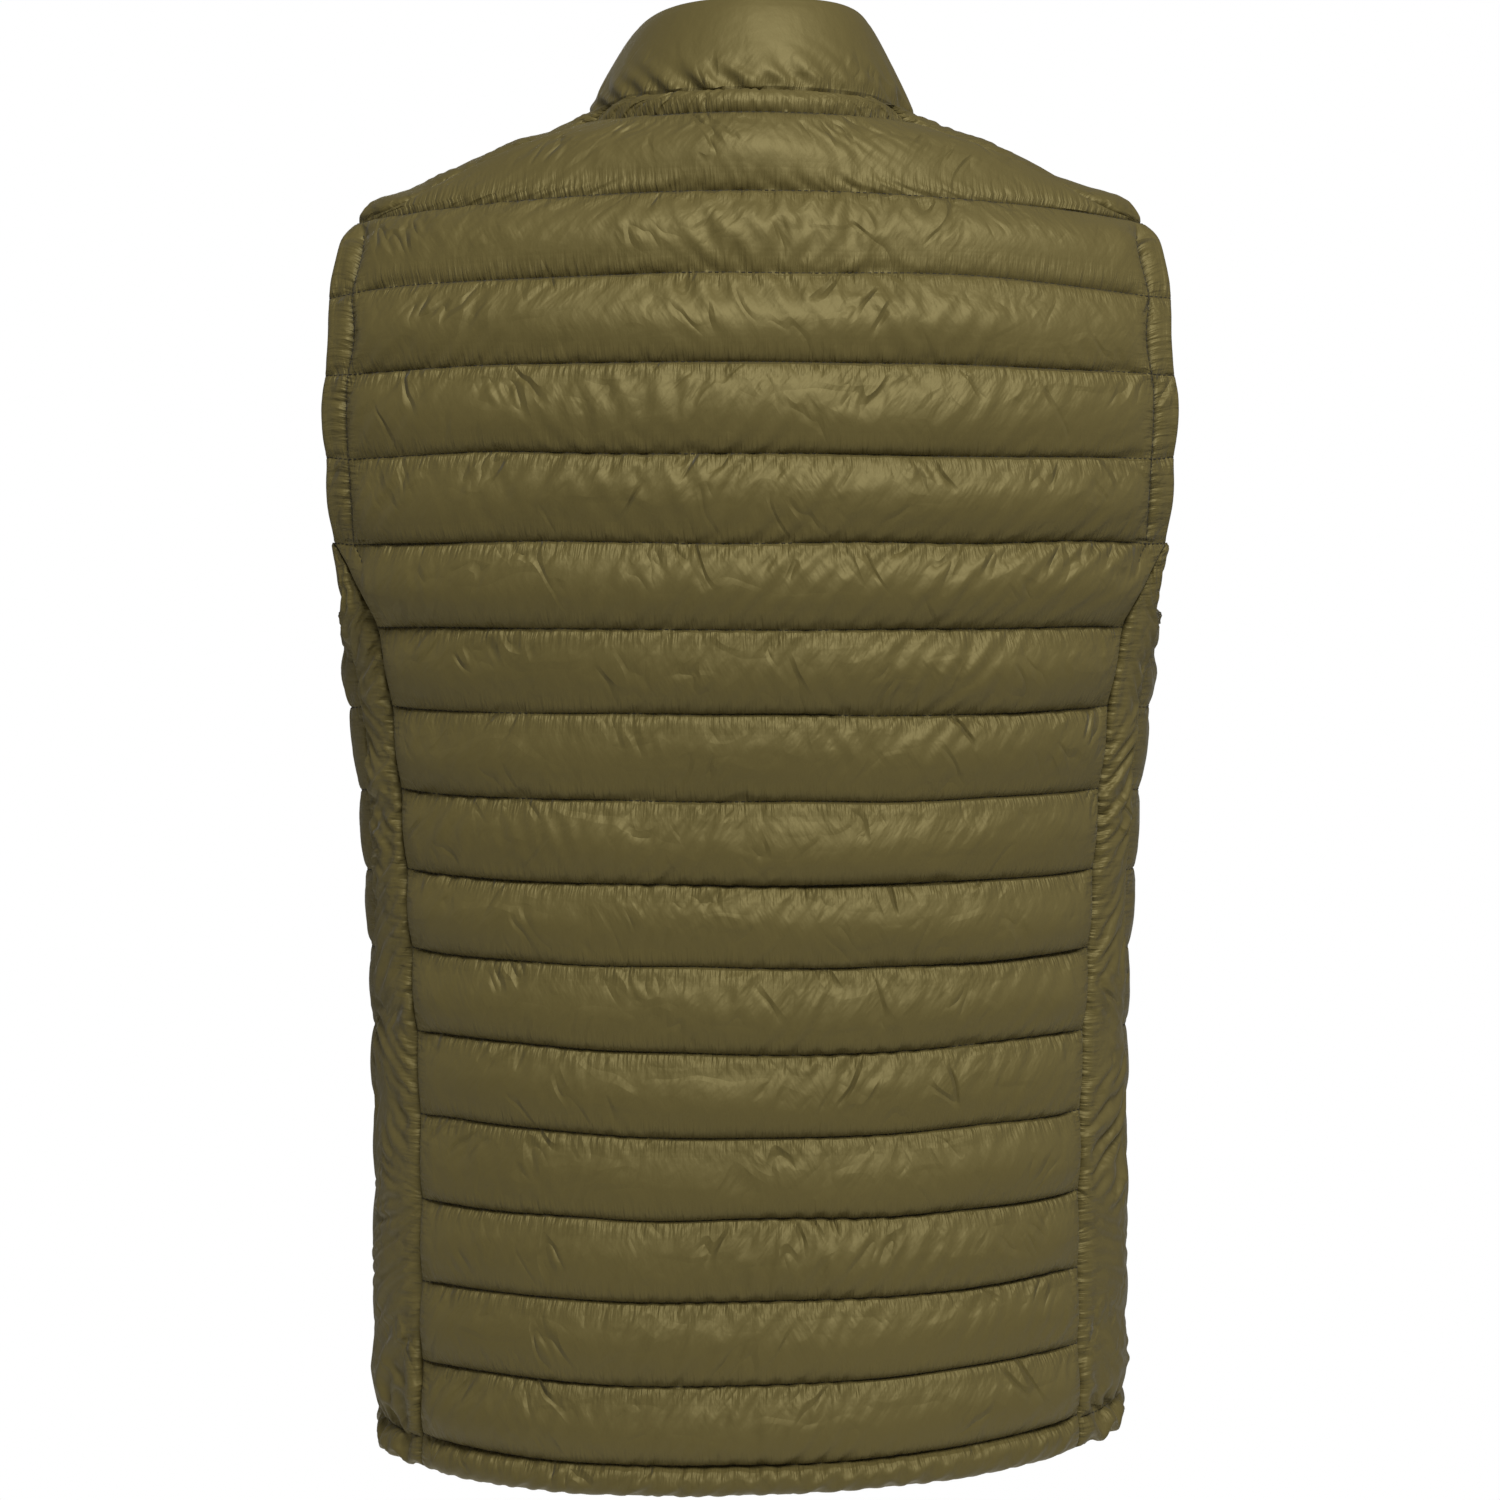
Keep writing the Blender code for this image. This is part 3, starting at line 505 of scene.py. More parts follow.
def mesh_object(
    name: str,
    points: Array,
    polygons: Sequence[Sequence[int]] | Array,
    uv: Array | None = None,
    marks: dict[str, Array] | None = None,
    sharp: float = 50.0,
) -> bpy.types.Object:
    """An object at the origin from points and faces.

    Args:
        name: of the piece.
        points: n x 3.
        polygons: faces, each a run of point numbers; an array where all have the same count.
        uv: n x 2 place of each point on the flat cloth, in metres.
        marks: a number for each point under each attribute's name.
        sharp: edges steeper than this many degrees stay crisp.

    Returns:
        The object, linked into the scene.
    """
    if isinstance(polygons, np.ndarray):
        counts = np.full(len(polygons), polygons.shape[1], np.int32)
        corners = polygons.astype(np.int32).ravel()
    else:
        counts = np.array([len(face) for face in polygons], np.int32)
        corners = np.concatenate([np.asarray(face, np.int32) for face in polygons])
    mesh = bpy.data.meshes.new(name)
    mesh.vertices.add(len(points))
    mesh.vertices.foreach_set("co", np.asarray(points, np.float32).ravel())
    mesh.loops.add(len(corners))
    mesh.loops.foreach_set("vertex_index", corners)
    mesh.polygons.add(len(counts))
    starts = np.concatenate([[0], np.cumsum(counts)[:-1]]).astype(np.int32)
    mesh.polygons.foreach_set("loop_start", starts)
    mesh.polygons.foreach_set("loop_total", counts)
    if uv is not None:
        layer = mesh.uv_layers.new(name="Flat")
        layer.data.foreach_set("uv", np.asarray(uv, np.float32)[corners].ravel())
    for mark, values in (marks or {}).items():
        attribute = mesh.attributes.new(mark, "FLOAT", "POINT")
        attribute.data.foreach_set("value", np.asarray(values, np.float32).ravel())
    mesh.update(calc_edges=True)
    mesh.validate()
    mesh.shade_smooth()
    mesh.set_sharp_from_angle(angle=math.radians(sharp))
    obj = bpy.data.objects.new(name, mesh)
    bpy.context.scene.collection.objects.link(obj)
    return obj


def grid_faces(rows: int, columns: int) -> Array:
    """The quads of a grid whose points are numbered along each row.

    Args:
        rows: rows of points.
        columns: points along each row.

    Returns:
        The quads.
    """
    r, c = np.meshgrid(np.arange(rows - 1), np.arange(columns - 1), indexing="ij")
    first = (r * columns + c).ravel()
    return np.stack([first, first + 1, first + columns + 1, first + columns], 1)


def lined(outer: Array, inner: Array, every: int) -> tuple[Array, list[list[int]], int]:
    """A closed wall: the settled cloth outside and a plain, coarser lining inside.

    The two share the border's points; the lining keeps one row and column in every few.

    Args:
        outer: rows x columns x 3.
        inner: the same grid on the lining's surface.
        every: how many rows or columns the lining takes at a time.

    Returns:
        Points, faces, and how many of the faces are the outer cloth's.
    """
    rows, columns = outer.shape[:2]
    keep_r = np.unique(np.append(np.arange(0, rows - 1, every), rows - 1))
    keep_c = np.unique(np.append(np.arange(0, columns - 1, every), columns - 1))
    number = np.arange(rows * columns).reshape(rows, columns)
    inside = inner[np.ix_(keep_r[1:-1], keep_c[1:-1])]
    corner = number[np.ix_(keep_r, keep_c)]
    corner[1:-1, 1:-1] = rows * columns + np.arange(inside[..., 0].size).reshape(inside.shape[:2])
    at = corner.tolist()
    faces: list[list[int]] = grid_faces(rows, columns).tolist()
    shell = len(faces)
    for i, (r0, r1) in enumerate(zip(keep_r, keep_r[1:])):
        for j, (c0, c1) in enumerate(zip(keep_c, keep_c[1:])):
            ring = [at[i][j]]
            ring += number[r0 + 1 : r1, 0].tolist() if c0 == 0 else []
            ring.append(at[i + 1][j])
            ring += number[rows - 1, c0 + 1 : c1].tolist() if r1 == rows - 1 else []
            ring.append(at[i + 1][j + 1])
            ring += number[r0 + 1 : r1, columns - 1][::-1].tolist() if c1 == columns - 1 else []
            ring.append(at[i][j + 1])
            ring += number[0, c0 + 1 : c1][::-1].tolist() if r0 == 0 else []
            faces.append(ring)
    return np.concatenate([outer.reshape(-1, 3), inside.reshape(-1, 3)]), faces, shell


def tube_faces(rings: int, around: int) -> list[list[int]]:
    """Faces of a closed tube whose points are numbered ring by ring.

    Args:
        rings: how many rings of points there are.
        around: points in each ring.

    Returns:
        The sides, ring by ring, and then the two end caps.
    """
    faces = []
    for i in range(rings - 1):
        a, b = i * around, (i + 1) * around
        faces += [[a + j, a + (j + 1) % around, b + (j + 1) % around, b + j] for j in range(around)]
    last = (rings - 1) * around
    return faces + [list(reversed(range(around))), list(range(last, last + around))]


def stitch_mesh(paths: list[tuple[Array, Array]]) -> tuple[Array, Array]:
    """Thread stitches along lines: each a short four-sided spindle that dips in at both ends.

    Args:
        paths: for each line its points and the cloth's normals there.

    Returns:
        Points and quads of all the stitches.
    """
    places, ways, ups = [], [], []
    for line, normal in paths:
        along = lengths(line)
        count = int((along[-1] - STITCH_LONG) / STITCH_PITCH)
        if count < 1:
            continue
        middle = (np.arange(count) + 0.5) * along[-1] / count
        ahead = sampled(line, along, middle + STITCH_LONG / 2)
        places.append(sampled(line, along, middle))
        ways.append(unit(ahead - sampled(line, along, middle - STITCH_LONG / 2)))
        ups.append(unit(sampled(normal, along, middle)))
    place, way, up = (np.concatenate(part) for part in (places, ways, ups))
    side = unit(np.cross(way, up))
    up = np.cross(side, way)
    # Along the stitch: share of its length, height over the cloth, thickness share.
    profile = ((-0.50, -1.1, 0.35), (-0.30, 0.5, 1.0), (0.30, 0.5, 1.0), (0.50, -1.1, 0.35))
    rings = []
    for share, high, thick in profile:
        centre = place + way * (share * STITCH_LONG) + up * (high * THREAD_RADIUS)
        for a, b in ((1, 0), (0, 1), (-1, 0), (0, -1)):
            rings.append(centre + (side * a + up * b) * (THREAD_RADIUS * thick))
    points = np.stack(rings, 1).reshape(-1, 3)
    first = len(rings) * np.arange(len(place))[:, None, None]
    return points, (np.array(tube_faces(len(profile), 4))[None] + first).reshape(-1, 4)


# ----------------------------------------------------------------- the panels
@dataclass
class Rows:
    """The rows of a panel from the hem up."""

    z: Array
    rise: Array  # the wadding's height over the stitched cloth
    line: Array  # True on a quilting line


def channel_rows(low: float, high: float, count: int, puff: float, sunk: float = 0.85) -> Rows:
    """One channel from its lower line, the upper line left out.

    Its height is puff * sin(pi * share^sunk)^0.78; sunk under 1 lets the wadding settle low.

    Args:
        low: the lower line's height.
        high: the upper line's height.
        count: of rows.
        puff: the channel's rise.
        sunk: under 1 lets the wadding settle low.

    Returns:
        The rows.
    """
    t = np.arange(count) / count
    share = 0.45 * t + 0.55 * (0.5 - 0.5 * np.cos(math.pi * t))
    rise = puff * np.sin(math.pi * share**sunk) ** 0.78
    return Rows(low + (high - low) * share, rise, t == 0)


def hem_rows(count: int = 11) -> Rows:
    """The hem's band, rounded where it is turned under.

    Args:
        count: of rows.

    Returns:
        The rows.
    """
    share = np.linspace(0, 1, count + 1)[:-1] ** 1.5
    z = HEM_EDGE + (HEM_SEAM - HEM_EDGE) * share
    rise = HEM_PUFF * np.sin(math.pi * (0.2 + 0.8 * share)) ** 0.6
    return Rows(z, rise, np.zeros(count, bool))


def stacked(parts: list[Rows], top: float) -> Rows:
    """Rows of all the channels, and the last row at the top."""
    return Rows(
        np.concatenate([p.z for p in parts] + [[top]]),
        np.concatenate([p.rise for p in parts] + [[0.0]]),
        np.concatenate([p.line for p in parts] + [[False]]),
    )


# Distances of the columns from a row's end, close together at the edge and at the stitched line.
EDGE_STEPS = np.array(
    [0, 0.35, 1.0, 1.9, 3.1, 4.5, 6.1, 7.8, 9.5, 11.2, 12.8]
    + [14.3, 15.6, 16.5, 17.0, 17.5, 18.4, 19.7, 21.2, 22.8, 24.4, 26.0]
) / 1000
BAND_COLUMN = int(np.argmin(np.abs(EDGE_STEPS - BAND)))
TICK_LONG, PUCKER_LONG = 0.0065, 0.0090  # how far ticks and puckers reach from their stitching


@dataclass
class Panel:
    """A cut piece: rows laid on the figure between two edges, raised, settled and lined."""

    name: str
    seed: int
    side: Side = Side.LEFT
    middle: int = 100  # columns between the two edges' own
    spare: float = 0.012
    slant: float = -0.05
    stitches: list[tuple[Array, Array]] = field(default_factory=list)
    armhole: Array | None = None  # each point's distance from the armhole's edge
    tuck: Array | float = 0.0  # how far the cloth is drawn in at the armhole's lower corner
    folds: float = 1.0  # depth of the finish's own folds
    roughness: float = 0.0006  # of the cloth before it settles

    def rows(self) -> Rows:
        """The piece's rows."""
        raise NotImplementedError

    def ends(self, z: Array) -> tuple[Array, Array, Array]:
        """Start and end angles of the rows, and how far their ends sag."""
        raise NotImplementedError

    def widths(self, z: Array, base: Array, first: Array, last: Array) -> tuple[Array, Array]:
        """Each point's share of its row's rise, and where the cloth is sewn along a column."""
        raise NotImplementedError

    def stations(self, length: Array) -> Array:
        """Distances of the columns from the row's start: fixed near the edges, even between.

        Args:
            length: each row's length.

        Returns:
            Distances from the row's start, rows x columns.
        """
        steps = EDGE_STEPS[None] * np.minimum(1, length / 0.16)[:, None]
        t = np.linspace(0, 1, self.middle + 2)[1:-1][None]
        low, high = steps[:, -1:], length[:, None] - steps[:, -1:]
        return np.concatenate([steps, low + (high - low) * t, length[:, None] - steps[:, ::-1]], 1)

    def lay(self, rows: Rows) -> tuple[Array, Array, Array]:
        """Lays the rows on the figure.

        Args:
            rows: the piece's rows.

        Returns:
            Points, and each point's distance from the row's start and from its end.
        """
        start, end, sag = self.ends(rows.z)
        angle = start[:, None] + (end - start)[:, None] * np.linspace(0, 1, 241)[None]
        z = np.broadcast_to(rows.z[:, None], angle.shape).copy()
        for _ in range(4):
            p = BODY.at(angle, z)
            x = p[..., 0] * self.side.value
            z = rows.z[:, None] - sag[:, None] * (x / 0.2) ** 2 + lean(x, rows.z[:, None])
        p = BODY.at(angle, z)
        steps = np.linalg.norm(np.diff(p, axis=1), axis=-1)
        along = np.concatenate([np.zeros((len(z), 1)), np.cumsum(steps, axis=1)], 1)
        length = along[:, -1] - 2 * SEAM_GAP
        at = self.stations(length)
        laid_angle = np.stack([np.interp(a + SEAM_GAP, s, v) for a, s, v in zip(at, along, angle)])
        laid_z = np.stack([np.interp(a + SEAM_GAP, s, v) for a, s, v in zip(at, along, z)])
        inland = ease(np.minimum(at, length[:, None] - at) / 0.02)
        count = np.arange(len(z))
        inland = inland * ease(np.minimum(count, count[::-1]) / 14)[:, None] * ease((-0.03 - laid_z) / 0.03)
        # Hand-guided quilting wanders off its line by about half a millimetre.
        laid_z = laid_z + 0.0006 * cloudy(at.shape, 9, 18, self.seed + 5) * inland
        return BODY.at(laid_angle, laid_z), at, length[:, None] - at

    def sheet(self) -> tuple[Sheet, Array, dict[str, Array]]:
        """The cloth before it settles, its flat places, and its marks for the finish.

        Returns:
            The cloth, its flat places in metres, and its marks by name.
        """
        rows = self.rows()
        base, first, last = self.lay(rows)
        shape = first.shape
        share, sewn = self.widths(rows.z, base, first, last)
        normal = BODY.outward(base)
        uneven = 1 + 0.10 * cloudy(shape, 5, 22, self.seed + 6)
        valley, crest = self.loft(last)
        rise = STITCHED + valley + rows.rise[:, None] * crest * share * uneven
        top_z, low_z = rows.z[-1], rows.z[0]
        edge = np.minimum(first, last)
        rise *= rounded(edge, ROUND_SIDE) * rounded(rows.z - low_z, ROUND_HEM)[:, None]
        rise *= rounded(top_z - rows.z, ROUND_TOP)[:, None]
        rise[[0, -1]] = rise[:, [0, -1]] = 0.0
        rise = rise - self.tuck
        pinned = np.broadcast_to(rows.line[:, None], shape) | sewn
        pinned[[0, -1]] = pinned[:, [0, -1]] = True
        spare_u, spare_v, slant = self.slack(base, rows, first, last)
        flat = np.stack([self.along(base, first, last), self.climb(base)], -1)
        lines = np.append(rows.z[rows.line], np.inf)
        to_line = np.abs(rows.z[:, None] - lines[None]).min(1)
        ticks = np.exp(-((to_line / TICK_LONG) ** 2))[:, None] * np.ones(shape)
        armhole = np.abs(self.armhole - BAND) if self.armhole is not None else np.full(shape, 1.0)
        seam = np.exp(-((np.minimum(edge, armhole) / PUCKER_LONG) ** 2))
        room = 0.3 + 0.7 * ease((self.upper(rows)[:, None] - 0.05) / 0.7)
        folds = self.folds * room * (0.3 + 0.7 * ease(edge / 0.012))
        # line_near and seam_near also set where the shell's colour is darkened as painted shade in the
        # grooves of lines and seams.
        marks = {"line_near": ticks, "seam_near": seam, "fold_room": folds}
        return Sheet(base, normal, rise, pinned, spare_u, spare_v, slant), flat, marks

    def along(self, base: Array, first: Array, last: Array) -> Array:
        """Each point's place across the cloth, here measured from the row's start."""
        return first

    @staticmethod
    def climb(base: Array) -> Array:
        """How far up the cloth each point is, measured square to the rows.

        Args:
            base: the laid points, rows x columns x 3.

        Returns:
            The height of each point, rows x columns.
        """
        step = np.diff(base, axis=0)
        way = unit(np.gradient(base, axis=1))[:-1]
        square = step - way * (step * way).sum(-1)[..., None]
        heights = np.cumsum(np.linalg.norm(square, axis=-1), axis=0)
        return np.concatenate([np.zeros((1, base.shape[1])), heights])

    def loft(self, last: Array) -> tuple[Array | float, Array | float]:
        """How far the lines stand off more than elsewhere, and the channels' share of their rise."""
        return 0.0, 1.0

    def slack(self, base: Array, rows: Rows, first: Array, last: Array) -> tuple[Array, Array, Array]:
        """Spare length along and across the rows, and the slant of the puckers, all uneven.

        Args:
            base: the laid points, rows x columns x 3.
            rows: the piece's rows.
            first: each point's distance from its row's start.
            last: each point's distance from its row's end.

        Returns:
            Spare share along the rows, spare share across them, and the slant.
        """
        shape = first.shape
        patchy = cloudy(shape, 8, 11, self.seed + 2)
        upper = self.upper(rows)[:, None]
        spare_u = self.spare * np.clip(1 + 0.9 * patchy, 0, 3) * (0.55 + 1.0 * upper)
        spare_v = np.full(shape, 0.012)
        slant = self.slant * np.clip(0.7 + 0.9 * cloudy(shape, 9, 14, self.seed + 3), -0.8, 2.4)
        hem = (rows.z < HEM_SEAM)[:, None] * np.ones(shape)
        spare_u = spare_u + 0.012 * hem * np.clip(0.6 + cloudy(shape, 6, 9, self.seed + 8), 0, 3)
        slant = slant * (1 + hem)
        return spare_u, spare_v, slant

    @staticmethod
    def upper(rows: Rows) -> Array:
        """How far up its channel each row is, from 0 at the lower line to 1 under the upper one.

        Args:
            rows: the piece's rows.

        Returns:
            A share for each row.
        """
        lines = np.concatenate([rows.z[:1], rows.z[rows.line], rows.z[-1:]])
        below = np.searchsorted(lines, rows.z, side="right") - 1
        below = np.clip(below, 0, len(lines) - 2)
        return (rows.z - lines[below]) / np.maximum(lines[below + 1] - lines[below], 1e-9)

    def build(self, relaxer: Relaxer) -> bpy.types.Object:
        """Makes the piece: laid, settled, mirrored where it is the right one, lined and stitched.

        Args:
            relaxer: what settles the cloth.

        Returns:
            The piece.
        """
        sheet, flat, marks = self.sheet()
        if self.side is Side.RIGHT:
            turn = np.array([-1.0, 1.0, 1.0])
            sheet.base, sheet.normal = sheet.base[:, ::-1] * turn, sheet.normal[:, ::-1] * turn
            for part in ("rise", "pinned", "spare_u", "spare_v", "slant"):
                setattr(sheet, part, getattr(sheet, part)[:, ::-1])
            flat, marks = flat[:, ::-1], {mark: values[:, ::-1] for mark, values in marks.items()}
        settled = relaxer.settle(sheet, self.seed, self.roughness)
        self.keep_stitches(settled, sheet.normal)
        points, faces, shell = lined(settled, sheet.base, 9)
        inside = np.zeros(len(points) - settled[..., 0].size)
        uv = np.concatenate([flat.reshape(-1, 2), np.stack([inside, inside], 1)])
        spread = {mark: np.concatenate([values.reshape(-1), inside]) for mark, values in marks.items()}
        obj = mesh_object(self.name, points, faces, uv, spread)
        index = np.zeros(len(faces), np.int32)
        index[shell:] = 1
        obj.data.polygons.foreach_set("material_index", index)
        return obj

    def keep_stitches(self, settled: Array, normal: Array) -> None:
        """Remembers the lines that thread runs along."""
        for row in np.flatnonzero(self.rows().line):
            self.stitches.append((settled[row, 1:-1], normal[row, 1:-1]))


def reach(points: Array, line: Array) -> Array:
    """Distance of each point of a grid from the nearest point of a line."""
    return np.stack([np.linalg.norm(row[:, None] - line[None], axis=-1).min(1) for row in points])


def dip(distance: Array) -> Array:
    """An armhole band's share of the rise: its own crown out to the stitched line, then up to full.

    Args:
        distance: from the edge, in metres.

    Returns:
        Shares from 0 to 1.
    """
    band = 0.62 * np.sin(math.pi * np.clip(distance / BAND, 0, 1) ** 0.75) ** 0.6
    inner = 1 - (1 - np.clip((distance - BAND) / 0.020, 0, 1)) ** 2.4
    return np.where(distance < BAND, band, inner)


def seam_share(distance: Array) -> Array:
    """Share of the rise beside a seam: 1 - (1 - d / 22 mm)^2.4."""
    return 1 - (1 - np.clip((distance + 0.0006) / 0.022, 0, 1)) ** 2.4


@dataclass
class BackPanel(Panel):
    """The quilted back, from side seam to side seam and up to the neck."""

    name: str = "back_quilted"
    seed: int = 11
    middle: int = 248

    def rows(self) -> Rows:
        """Hem, fifteen channels, the shoulder channel and the narrow neck channel.

        Returns:
            The rows.
        """
        parts = [hem_rows()]
        # Lower down, the wadding has settled further in its channels.
        for low, high in zip(LINE_Z, LINE_Z[1:]):
            parts.append(channel_rows(low, high, 18, PUFF, 0.82 if high < -0.3 else 0.95))
        parts.append(channel_rows(LINE_Z[-1], NECK_LINE, 18, PUFF, 1.0))
        parts.append(channel_rows(NECK_LINE, NECK_TOP, 7, 0.45 * PUFF, 1.0))
        return stacked(parts, NECK_TOP)

    def along(self, base: Array, first: Array, last: Array) -> Array:
        """Measured from the middle of the back."""
        return (first - last) / 2 + 1.0

    def edge_x(self, z: Array) -> Array:
        """Where the back ends, as x, at these heights."""
        x = np.where(z < TIP, monotone(BACK_SEAM_X, z), monotone(ARMHOLE_BACK_X, z))
        return np.where(z < SHOULDER_LOW, x, polyline(SHOULDER_SEAM_X, z))

    def ends(self, z: Array) -> tuple[Array, Array, Array]:
        """From the left edge round the back to the right one.

        Args:
            z: the rows' heights.

        Returns:
            Start angle, end angle and sag of each row.
        """
        sag = polyline(SAG, z)
        end = z.copy()
        for _ in range(30):
            x = self.edge_x(end)
            end = z - sag * (x / 0.2) ** 2
        angle = BODY.angle_at_x(x, end)
        return angle, math.pi - angle, sag

    def widths(self, z: Array, base: Array, first: Array, last: Array) -> tuple[Array, Array]:
        """Seams low down, armhole bands above, each fading into the other near the tip.

        Args:
            z: the rows' heights.
            base: the laid points, rows x columns x 3.
            first: each point's distance from its row's start.
            last: each point's distance from its row's end.

        Returns:
            Each point's share of the rise, and True where the cloth is sewn.
        """
        arm = (ease((z + 0.222) / 0.02) * ease((-0.030 - z) / 0.012))[:, None]
        share = np.ones(first.shape)
        sewn = np.zeros(first.shape, bool)
        tip = np.exp(-(((z - TIP) / 0.016) ** 2))
        for distance, column in ((first, BAND_COLUMN), (last, first.shape[1] - 1 - BAND_COLUMN)):
            share = share * (seam_share(distance) * (1 - arm) + dip(distance) * arm)
            sewn[:, column] |= arm[:, 0] > 0.6
            share = share * (1 - 0.55 * tip[:, None] * np.exp(-((distance / 0.020) ** 2)))
        self.armhole = np.minimum(first, last) + (1 - arm)
        return share, sewn

    def slack(self, base: Array, rows: Rows, first: Array, last: Array) -> tuple[Array, Array, Array]:
        """More spare cloth down the middle of the back and at the neck, less on the shoulders.

        Args:
            base: the laid points, rows x columns x 3.
            rows: the piece's rows.
            first: each point's distance from its row's start.
            last: each point's distance from its row's end.

        Returns:
            Spare share along the rows, spare share across them, and the slant.
        """
        spare_u, spare_v, slant = super().slack(base, rows, first, last)
        x = base[..., 0]
        spare_u = spare_u * (0.55 + 0.9 * np.exp(-((x + 0.02) / 0.085) ** 2))
        yoke = ease((rows.z - LINE_Z[-1]) / 0.012)[:, None]
        spare_u, slant = spare_u * (1 - 0.5 * yoke), slant * (1 - 0.8 * yoke)
        neck = ease((rows.z - NECK_LINE) / 0.002)[:, None]
        spare_u = spare_u + 0.035 * neck * np.clip(1 + cloudy(first.shape, 3, 5, self.seed + 7), 0, 3)
        return spare_u, spare_v, slant

    def keep_stitches(self, settled: Array, normal: Array) -> None:
        """Quilting lines, and the line along each armhole.

        Args:
            settled: the settled points.
            normal: the figure's unit normals at the points.
        """
        super().keep_stitches(settled, normal)
        z = self.rows().z
        rows = np.flatnonzero((z > -0.215) & (z < -0.036))
        for column in (BAND_COLUMN, settled.shape[1] - 1 - BAND_COLUMN):
            self.stitches.append((settled[rows, column], normal[rows, column]))


@dataclass
class FrontPanel(Panel):
    """A quilted front, from the zip round to the side seam, armhole and shoulder."""

    middle: int = 84
    low: Array | float = 1.0  # 1 where the outer edge is a seam, 0 at the armhole

    def rows(self) -> Rows:
        """Hem, fifteen channels and the one that the neck cuts into.

        Returns:
            The rows.
        """
        parts = [hem_rows()]
        parts += [channel_rows(a, b, 18, PUFF) for a, b in zip(LINE_Z, LINE_Z[1:])]
        parts.append(channel_rows(LINE_Z[-1], FRONT_TOP, 16, PUFF, 1.0))
        return stacked(parts, FRONT_TOP)

    def along(self, base: Array, first: Array, last: Array) -> Array:
        """Measured from the zip."""
        return first + np.abs(base[:, :1, 0])

    def ends(self, z: Array) -> tuple[Array, Array, Array]:
        """From the zip's edge, or the neck above it, to the side.

        Args:
            z: the rows' heights.

        Returns:
            Start angle, end angle and sag of each row.
        """
        inner_x = np.where(z > NECK_LOW, polyline(NECK_FRONT_X, z), ZIP_EDGE)
        start = -BODY.angle_at_x(inner_x, z)
        low = BODY.angle_at_y(monotone(SIDE_SEAM_Y, z), z)
        arm = BODY.angle_at_y(polyline(ARMHOLE_FRONT_Y, z), z)
        top = BODY.angle_at_y(np.full(z.shape, RIDGE_Y), z)
        end = np.where(z < ARM_LOW, low, np.where(z < RIDGE_Z, arm, top))
        return start, end, np.zeros(z.shape)

    def widths(self, z: Array, base: Array, first: Array, last: Array) -> tuple[Array, Array]:
        """A zip edge on one side; a seam, the armhole's band, then the shoulder's seam on the other.

        Args:
            z: the rows' heights.
            base: the laid points, rows x columns x 3.
            first: each point's distance from its row's start.
            last: each point's distance from its row's end.

        Returns:
            Each point's share of the rise, and True where the cloth is sewn.
        """
        top = ease((-0.034 - z) / 0.010)[:, None]
        under = ease((-0.215 - z) / 0.025)[:, None]
        corner = ARMHOLE_FRONT_Y
        knots, spots = range(len(corner)), np.linspace(0, len(corner) - 1, 400)
        low_z, low_y = (np.interp(spots, knots, part) for part in zip(*corner))
        edge = BODY.at(BODY.angle_at_y(low_y, low_z), low_z)
        near = reach(base, edge)
        self.armhole = (last * (1 - under) + near * under) + (1 - top)
        share = seam_share(first) * np.where(z[:, None] < ARM_LOW, seam_share(last), 1.0)
        share = share * (dip(self.armhole) * top + seam_share(last) * (1 - top))
        share = share * (1 - 0.6 * under * np.exp(-((near / 0.045) ** 2)))
        # The cloth is drawn in by up to 3.5 mm within 8 mm of the armhole's lower corner.
        self.tuck = 0.0035 * under * ease((0.030 - base[..., 1]) / 0.020) * np.exp(-((near / 0.008) ** 2))
        self.low = ease((ARM_LOW - 0.015 - z) / 0.020)[:, None]
        sewn = (np.abs(near - BAND) < 0.0011) & (under > 0.3)
        sewn[:, first.shape[1] - 1 - BAND_COLUMN] |= (top[:, 0] > 0.6) & (z > -0.225)
        return share, sewn

    def loft(self, last: Array) -> tuple[Array | float, Array | float]:
        """Shallower quilting towards the side seam, where the padding is drawn tight."""
        tight = np.exp(-((last / 0.060) ** 2)) * self.low
        return 0.0036 * tight * ease(last / 0.012), 1 - 0.72 * tight

    def keep_stitches(self, settled: Array, normal: Array) -> None:
        """Quilting lines, and the line along the armhole.

        Args:
            settled: the settled points.
            normal: the figure's unit normals at the points.
        """
        super().keep_stitches(settled, normal)
        z = self.rows().z
        rows = np.flatnonzero((z > -0.225) & (z < -0.038))
        column = settled.shape[1] - 1 - BAND_COLUMN
        column = column if self.side is Side.LEFT else BAND_COLUMN
        self.stitches.append((settled[rows, column], normal[rows, column]))


